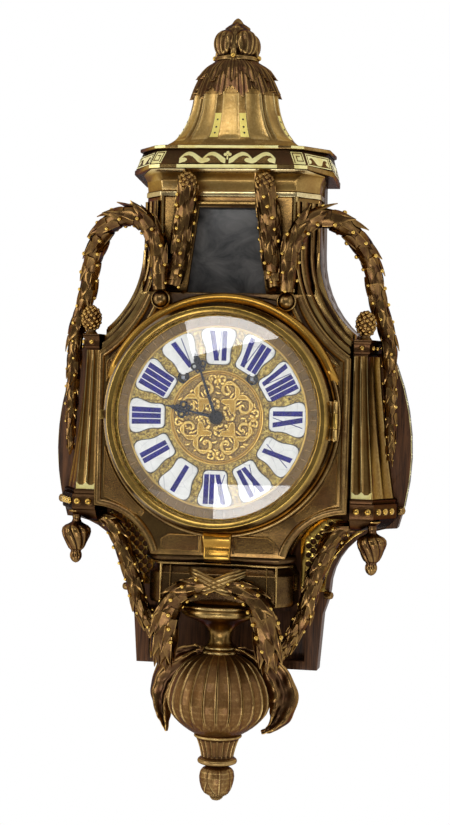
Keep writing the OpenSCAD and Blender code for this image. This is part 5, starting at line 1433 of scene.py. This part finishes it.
def ribbonMesh(route, across, thick, waves, lift, finish, ribs=0):
    # A band along a route of x, up, deep and width, with folds running along it
    line = smoothRoute(route, 8)
    spots = [Vector(p[:3]) for p in line]
    count, steps = len(line), 16
    rows = []
    for i, p in enumerate(line):
        ahead = (spots[min(i + 1, count - 1)] - spots[max(i - 1, 0)]).normalized()
        side = (Vector(across) - ahead * ahead.dot(Vector(across))).normalized()
        face = side.cross(ahead)
        if face.z < 0:
            face = -face
        upper, under = [], []
        for j in range(steps + 1):
            share = j / steps - 0.5
            wave = lift * math.sin(2 * math.pi * waves * share + 0.35 * i / 4) * min(1, p[3] / 12)
            rib = 0.35 * math.cos(2 * math.pi * ribs * share) if ribs else 0
            edge = 1 - (2 * abs(share)) ** 6
            wave += lift * 0.3 * math.sin(0.45 * i) * math.cos(9 * share + 0.3 * i)
            spot = spots[i] + side * (p[3] * share * (1 + 0.02 * lift * math.sin(0.42 * i))) + face * wave
            upper.append(spot + face * (thick / 2 * edge + rib))
            under.append(spot - face * (thick / 2 * edge))
        rows.append([place(*spot) for spot in upper + list(reversed(under))])
    return sweep(rows, finish)


tails = {
    "right": [
        (14, -217.8, 56, 8), (22, -219.6, 55, 13), (31, -224, 53, 18), (40, -230.5, 51, 23),
        (48.5, -239, 49, 27), (55.5, -249, 47.5, 29.5), (59.5, -260, 47.5, 29), (59.5, -270, 48.3, 26),
        (57, -279, 49, 21), (52, -286, 49.8, 14.5), (46, -290.8, 50.6, 8), (40.5, -293, 51, 3)],
    "left": [
        (-14, -217.8, 56, 8), (-22, -219.6, 55, 13), (-31, -224, 53, 18), (-40, -230.5, 51, 23),
        (-49, -239, 49, 27), (-55, -249, 47.5, 27.5), (-57, -260, 47.5, 25), (-56, -271, 48.3, 20),
        (-53.4, -281, 49, 14), (-51.4, -289, 49.8, 8), (-50, -297, 50, 2.5)],
}


def drapedTails():
    meshes = [ribbonMesh(route, (1, 0.12, 0.35 if side == "left" else -0.35), 2.6, 1.7, 2.2, leafBronze)
              for side, route in tails.items()]
    finishPiece("drapedTails", meshes, ["ribbon_tails"], sharp=70)


swagBinding = [(-26, -142, 80, 8), (-19, -144.6, 88.5, 10), (-9, -149, 91.6, 10.6), (1, -153.6, 92, 10.6),
               (9, -157, 91, 10), (16, -159.4, 85.6, 8)]


def crossedBinding():
    meshes = [ribbonMesh(route, (0.35 * hand, 1, 0), 1.5, 0, 0, goldenBronze, 3)
              for route, hand in ((swagBinding, -1), (mirrored(swagBinding), 1))]
    finishPiece("crossedBinding", meshes)


dishAndNeck(foot)
bulb(foot)
socket(foot)
bud(foot)
drapedTails()
crossedBinding()
print("foot made")


# Knobbly cones on the capitals and ringed bosses at the foot of the chutes
cone = {
    "across": 129, "up": 88.5, "deep": 64, "reach": 8.2, "knobs": 64, "knobSize": 1.9, "stretch": 1.35,
    "stem": [(0, 72), (6.5, 72), (7, 73.5), (5.6, 75), (4.2, 77), (4.6, 79), (6.6, 80.5), (0, 80.5)],
    "tip": [(0, 96.8), (3.2, 97), (3.4, 98.4), (2, 100), (0, 101)],
}


def cones(look):
    meshes = []
    for x in (-look["across"], look["across"]):
        knobs = berryCluster((x, look["up"], look["deep"]), look["reach"], look["knobs"],
                             look["knobSize"], look["stretch"], leafBronze)
        meshes.append(knobs)
        for part, sides in (("stem", 32), ("tip", 24)):
            meshes.append(lathe(look[part], (x, 0, look["deep"]), agedBronze, sides, "up"))
    finishPiece("knobbedCones", meshes, ["pine_cones"], sharp=60)


boss = {
    "across": 58.5, "up": 107,
    "profile": [
        (0, 93.6), (2.6, 93.3), (4.8, 92.2), (6.2, 90.4), (6.9, 88.2), (7.3, 87.6), (8.0, 88.2), (8.8, 87.8),
        (9.2, 86.6), (9, 84.4), (8.6, 82.1), (0, 82.1)],
}


def bosses(look):
    meshes = [lathe(look["profile"], (x, look["up"], 0), agedBronze, 48)
              for x in (-look["across"], look["across"])]
    finishPiece("ringedBosses", meshes, sharp=50)


cones(cone)
bosses(boss)
print("cones made")


# The front of the case: swept mouldings, panels, fluted pilasters and their blocks
def arcPoints(centre, r, start, stop, count=28):
    turns = [math.radians(start + (stop - start) * k / count) for k in range(count + 1)]
    return [(centre[0] + r * math.cos(turn), centre[1] + r * math.sin(turn)) for turn in turns]


def bead(route, r, finish):
    # A round moulding along places in x, up and deep
    data = polyCurve("bead", [[place(*p) for p in route]])
    data.bevel_depth = r * millimetre
    data.bevel_resolution = 3
    data.use_fill_caps = True
    return coated(plainMesh(linked("bead", data)), finish)


def frontStand(thick, deep):
    return Matrix.Translation(place(0, 0, deep + thick / 2 - 0.05)) @ upright


front = {
    "face": 82, "side": 118, "shoulder": (180, 153.6), "shoulderIn": 115, "cornerAt": (118, -142),
    "cornerR": 57, "shoulderEnd": 116.5, "columnTop": 199, "panelThick": 0.7, "panelRing": 112.6,
    # radius and height across the arch over the bezel
    "arch": [
        (104.8, 0), (104.8, 6.6), (105.8, 8.5), (107.8, 9.4), (110.4, 9.3), (112.4, 8.2), (113.7, 6),
        (114.2, 2.6), (114.2, 0)],
    # height and depth down the keystone's face
    "keystone": [
        (-104.6, 83), (-105.4, 85.6), (-107.4, 88), (-110, 89.2), (-112.8, 88.8), (-115.6, 87),
        (-118.4, 85.2), (-121, 84.8), (-123.6, 85.8), (-126, 87), (-128.6, 87.2), (-131, 86),
        (-132.6, 83.6), (-133.2, 81)],
    # radius about the shoulder's centre and depth, from the shell's edge to the front frame
    "steps": [
        (97, 46), (97, 51.6), (98, 53.6), (99.4, 54.2), (100.4, 53), (101, 53.4), (101.6, 56.4), (103, 58.8),
        (104.6, 59.2), (105.6, 57.8), (106.2, 59), (106.8, 63), (108, 67.4), (110, 71), (111.6, 71.8),
        (112.4, 71), (112.8, 73), (113.4, 76.6), (114.2, 78.6), (114.9, 79), (114.9, 46)],
    # a plate closing the corner between the tower and the moulding
    "corner": [(58, 106), (79, 106), (76, 114), (72.5, 122), (70, 131), (68, 142), (66, 150), (58, 150)],
}


def shoulders(look):
    centre, centreUp = look["shoulder"]
    meshes = []
    for hand in (-1, 1):
        rows = [[place(hand * (centre - r), up, deep) for r, deep in look["steps"]]
                for up in (look["columnTop"], 185, 170)]
        for k in range(33):
            row = []
            for r, deep in look["steps"]:
                end = math.degrees(math.acos((centre - look["shoulderEnd"]) / r))
                turn = math.radians(180 + end * k / 32)
                row.append(place(hand * (centre + r * math.cos(turn)), centreUp + r * math.sin(turn), deep))
            rows.append(row)
        meshes.append(sweep(rows, agedBronze))
        corner = [(hand * x, up) for x, up in look["corner"]]
        meshes.append(flatCut([corner], 2, 0.2, frontStand(2, 67), shadedFrontBronze))
    finishPiece("shoulderMouldings", meshes, sharp=60)


def frameRoute(look, inset):
    # The right edge of the front frame, stepped inwards, from the tower's foot to the apron
    x = look["side"] - inset
    high, r = look["shoulder"], look["shoulderIn"] + inset
    start = 180 + math.degrees(math.asin((high[1] - 111) / r))
    stop = 180 + math.degrees(math.acos((high[0] - x) / r))
    low, lowReach = look["cornerAt"], look["cornerR"] + inset
    first = 90 + math.degrees(math.asin(inset / lowReach))
    last = 180 - math.degrees(math.asin((-125 - low[1]) / lowReach))
    return arcPoints(high, r, start, stop) + arcPoints(low, lowReach, first, last)


def frameBeads(look):
    meshes = []
    for hand in (-1, 1):
        for inset, r, sink, stop in ((4.2, 3.7, 1.5, None), (12.6, 3.0, 1.4, 29)):
            route = frameRoute(look, inset)[:stop]
            meshes.append(bead([(hand * x, up, look["face"] - sink) for x, up in route], r, agedBronze))
    for hand in (-1, 1):  # round corners of the tower, and a roll over its window
        meshes.append(bead([(hand * 61.8, 116, 72), (hand * 61.8, 204, 72)], 3.0, goldenBronze))
    meshes.append(bead([(-34, 197, 73), (34, 197, 73)], 1.6, agedBronze))
    foot = look["face"] - 0.5
    ring = ringProfile(104.6, 111.4, foot, (
        (0, 3.2), (0.12, 4.3), (0.3, 4.4), (0.42, 2.8), (0.52, 3.4), (0.8, 3.0), (0.95, 1.6), (1, 0.4)))
    meshes.append(lathe(ring, (0, 0, 0), agedBronze, 160))
    rows = []
    for k in range(97):
        at = 16 + 148 * k / 96
        turn = math.radians(at)
        full = ramp(at, 15.9, 25) * (1 - ramp(at, 155, 164.1))
        rows.append([place(r * math.cos(turn), r * math.sin(turn), foot + high * full)
                     for r, high in look["arch"]])
    meshes.append(sweep(rows, burnished))
    finishPiece("frameMouldings", meshes, sharp=60)


def panels(look):
    # Stippled panels in the corners beside the bezel and on the apron, and a plain keystone
    meshes = []
    face, thick, ringR, x = look["face"], look["panelThick"], look["panelRing"], look["side"] - 9.5
    edge = math.degrees(math.acos(x / ringR))
    upper = arcPoints((0, 0), ringR, edge, 34, 12) + [(96, 62), (102, 56), (x, 48)]
    lower = arcPoints((0, 0), ringR, -edge, -52, 16)
    lower += [(72, -93), (80, -90.5), (92, -83), (102, -79), (x, -76)]
    apron = [(17, -109), (46, -109), (52.5, -113.5), (52.5, -123.5), (17, -123.5)]
    for hand in (-1, 1):
        for outline, r in ((upper, 0.7), (lower, 0.7), (apron, 0.9)):
            line = [(hand * a, b) for a, b in outline]
            meshes.append(flatCut([line], thick, 0.2, frontStand(thick, face), stippled))
            meshes.append(bead([(a, b, face + 0.4) for a, b in line + line[:1]], r, shadedFrontBronze))
        meshes.append(bead([(hand * 15.6, -107, face), (hand * 14.6, -125, face)], 1.2, shadedFrontBronze))
    rows = []
    for up, high in look["keystone"]:
        half = [(13, 75), (13, high - 1.6), (12.4, high - 0.5), (11.2, high)]
        section = [(-a, deep) for a, deep in half] + list(reversed(half))
        rows.append([place(a * (1 + (up + 118) / 200), up, deep) for a, deep in section])
    meshes.append(sweep(rows, burnished))
    ovolo = [(-67, -129.5, 58), (-55, -129.5, 75), (55, -129.5, 75), (67, -129.5, 58)]
    meshes.append(bead(ovolo, 4.8, shadedFrontBronze))
    meshes.append(bead([(a * 0.985, -136, deep - 0.6) for a, b, deep in ovolo], 1.5, agedBronze))
    for half, top, low, deep, r, finish in (
            (54, -136, -173, 74, 1.2, agedBronze), (45, -138, -171, 74.2, 0.8, shadedFrontBronze)):
        for a in (-half, half):
            meshes.append(bead([(a, top, deep), (a, low, deep)], r, finish))
    finishPiece("frontPanels", meshes, sharp=50)


pier = {
    "inner": 119.5, "front": 70, "cantDeep": 36, "back": 22, "top": 60, "low": -72,
    "wideTop": 14, "wideLow": 22, "cantTop": 22, "cantLow": 38, "blockWide": 20,
    "capital": [
        (59, -1.6), (60.4, -1.4), (61.2, -0.2), (62.6, 0.5), (64, 0.3), (69.4, 0.3), (70, 0.9), (71.4, 1.6),
        (73.2, 1.8), (74, 1.4), (74.2, 0)],
    "block": [
        (-101.6, -17), (-101, -13.4), (-99.4, -9.4), (-97, -5.8), (-94.2, -2.8), (-91.4, -0.8), (-90.8, -0.4),
        (-90, 1.4), (-88.6, 2), (-77, 2), (-75.8, 1.4), (-75.2, 0.2), (-74.2, 0.4), (-73, 1), (-71.8, 0.4),
        (-71, -1.4)],
    # a little pale crown at the foot of each shaft
    "crown": [(0, 0), (18, 0), (18, 6), (15, 3.4), (12, 3.4), (9, 6), (6, 3.4), (3, 3.4), (0, 6)],
}


def pierCorners(look, wide, cant, grow):
    # The ends of the front and of the canted side in x and depth
    inner, front = look["inner"], look["front"] + grow
    return [Vector((inner, front)), Vector((inner + wide + grow, front)),
            Vector((inner + cant + grow, look["cantDeep"] + grow))]


def pierPlan(look, wide, cant, grow, flutes=0):
    # The whole plan from the inner front corner, with two hollows on the front and on the canted side
    corners = pierCorners(look, wide, cant, grow)
    plan = []
    for a, b in zip(corners, corners[1:]):
        along = b - a
        out = Vector((-along.y, along.x)).normalized()
        for k in range(28):
            share = k / 28
            away = abs(2 * ((share * 2) % 1) - 1)
            hollow = flutes * (1 - (away / 0.8) ** 2) ** 0.6 if away < 0.8 else 0
            plan.append(a + along * share - out * hollow)
    return plan + [corners[2], (look["inner"] + cant + grow, look["back"]), (look["inner"], look["back"])]


def pilasters(look):
    shafts, heads, blocks = [], [], []
    for hand in (-1, 1):
        rows = []
        for k in range(17):
            share = k / 16
            swell = share ** 1.35
            wide = look["wideTop"] + (look["wideLow"] - look["wideTop"]) * swell
            cant = look["cantTop"] + (look["cantLow"] - look["cantTop"]) * swell
            fade = min(1, share / 0.05, (1 - share) / 0.05)
            up = look["top"] + (look["low"] - look["top"]) * share
            rows.append([place(hand * x, up, deep) for x, deep in pierPlan(look, wide, cant, -2, 1.7 * fade)])
        shafts.append(sweep(rows, goldenBronze))
        crownCut = [(hand * (look["inner"] + 1 + x), -71 + y) for x, y in look["crown"]]
        shafts.append(flatCut([crownCut], 0.9, 0.15, frontStand(0.9, look["front"] - 2), paleGilt))
        for part, wide, cant, made, studAt, grown, r, fronts, sides in (
                ("capital", look["wideTop"], look["cantTop"], heads, 66.7, 0.3, 2.3, (0.5,), (0.25, 0.6)),
                ("block", look["blockWide"], look["cantLow"], blocks, -82.6, 2, 3.2, (0.28, 0.76),
                 (0.18, 0.46, 0.74))):
            made.append(sweep([[place(hand * x, up, deep) for x, deep in pierPlan(look, wide, cant, grow)]
                               for up, grow in look[part]], blockBronze))
            a, b, c = pierCorners(look, wide, cant, grown)
            spots = [(a + (b - a) * s, Vector((0, 1))) for s in fronts]
            spots += [(b + (c - b) * s, Vector((b.y - c.y, c.x - b.x)).normalized()) for s in sides]
            for spot, out in spots:
                seat, facing = place(hand * spot.x, studAt, spot.y), Vector((hand * out.x, -out.y, 0))
                made.append(discMesh(seat, facing, r, r * 0.9, burnished, 20))
                made.append(discMesh(seat, facing, r * 1.35, 0.5, blockBronze, 20))
    finishPiece("flutedPilasters", shafts, ["pilasters"], sharp=50)
    finishPiece("studdedCapitals", heads, ["pilaster_capitals"], sharp=45)
    finishPiece("studdedBlocks", blocks, ["pilaster_bases"], sharp=45)


pendant = {
    "across": 139.5, "deep": 60, "lobeStep": 45, "lobeDeep": 0.16, "twist": 0.035,
    "profile": [
        (-141.5, 0), (-140.6, 2.6), (-138.4, 4.6), (-135.6, 5.7), (-132.8, 5.6), (-130.6, 4.8), (-129.4, 5.2),
        (-127.6, 7.4), (-124.6, 9.2), (-120.6, 11), (-116, 13), (-112, 13.9), (-108.6, 13.4), (-106, 11),
        (-104.4, 7.4), (-102.6, 4.6), (-100, 3.8), (-97.6, 4.2), (-95.6, 4.4), (-94, 6.2), (-92.6, 7.6),
        (-91.6, 7.6)],
}


def pendants(look):
    def reachAt(turn, up):
        away = abs(lobeAngle(turn + look["twist"] * (up + 105), look["lobeStep"])) / (look["lobeStep"] / 2)
        lobed = ramp(up, -140, -135) * (1 - ramp(up, -106, -103))
        return between(look["profile"], up) * (1 - look["lobeDeep"] * lobed * away ** 3)

    meshes = []
    for x in (-look["across"], look["across"]):
        mesh = turnedRings(look["profile"], 0.7, 128, reachAt, look["deep"], leafBronze)
        mesh.transform(Matrix.Translation((x * millimetre, 0, 0)))
        meshes.append(mesh)
    finishPiece("ribbedPendants", meshes, ["drop_pendants"], sharp=60)


sideInlay = {
    "centre": (-50, -31), "bow": 220, "from": -13.5, "to": 22, "low": 12, "high": 20.6,
    "dashes": 8, "dashFrom": -12.6, "dashStep": 4.3, "dashLong": 3.3, "dashLow": 14, "dashHigh": 18.6,
    "dotAfter": 3.8, "dotDeep": 16.3, "knobs": [(161, -83, 4.2), (96.5, -165, 3.8)], "knobDeep": 26,
}


def boxInlay(look):
    # A pale strip with dark dashes on the bowed sides of the box, and small knobs below it
    pale, dark = [], []
    (middleX, middleUp), r = look["centre"], look["bow"]

    def sidePlace(hand, reach, turn, deep):
        return place(hand * (middleX + reach * math.cos(turn)), middleUp + reach * math.sin(turn), deep)

    def strip(hand, start, stop, low, high, lift, count, finish):
        section = ((r - 0.3, low), (r + lift, low), (r + lift, high), (r - 0.3, high))
        turns = [math.radians(start + (stop - start) * k / count) for k in range(count + 1)]
        rows = [[sidePlace(hand, reach, turn, deep) for reach, deep in section] for turn in turns]
        return sweep(rows, finish)

    for hand in (-1, 1):
        pale.append(strip(hand, look["from"], look["to"], look["low"], look["high"], 0.3, 40, paleGilt))
        for k in range(look["dashes"]):
            start = look["dashFrom"] + look["dashStep"] * k
            stop = start + look["dashLong"]
            dark.append(strip(hand, start, stop, look["dashLow"], look["dashHigh"], 0.5, 6, ebonised))
            dot = math.radians(start + look["dotAfter"])
            out = Vector((hand * math.cos(dot), 0, math.sin(dot)))
            dark.append(discMesh(sidePlace(hand, r + 0.3, dot, look["dotDeep"]), out, 0.9, 0.4, ebonised))
        for x, up, wide in look["knobs"]:
            out = Vector((hand, -0.4, 0)).normalized()
            seat = place(hand * x, up, look["knobDeep"])
            dark.append(discMesh(seat, out, wide, wide * 1.3, agedBronze, 24))
    finishPiece("boxInlay", pale + dark)


shoulders(front)
frameBeads(front)
panels(front)
pilasters(pier)
pendants(pendant)
boxInlay(sideInlay)
print("front made")


for shape in patterns.values():
    bpy.data.objects.remove(shape)
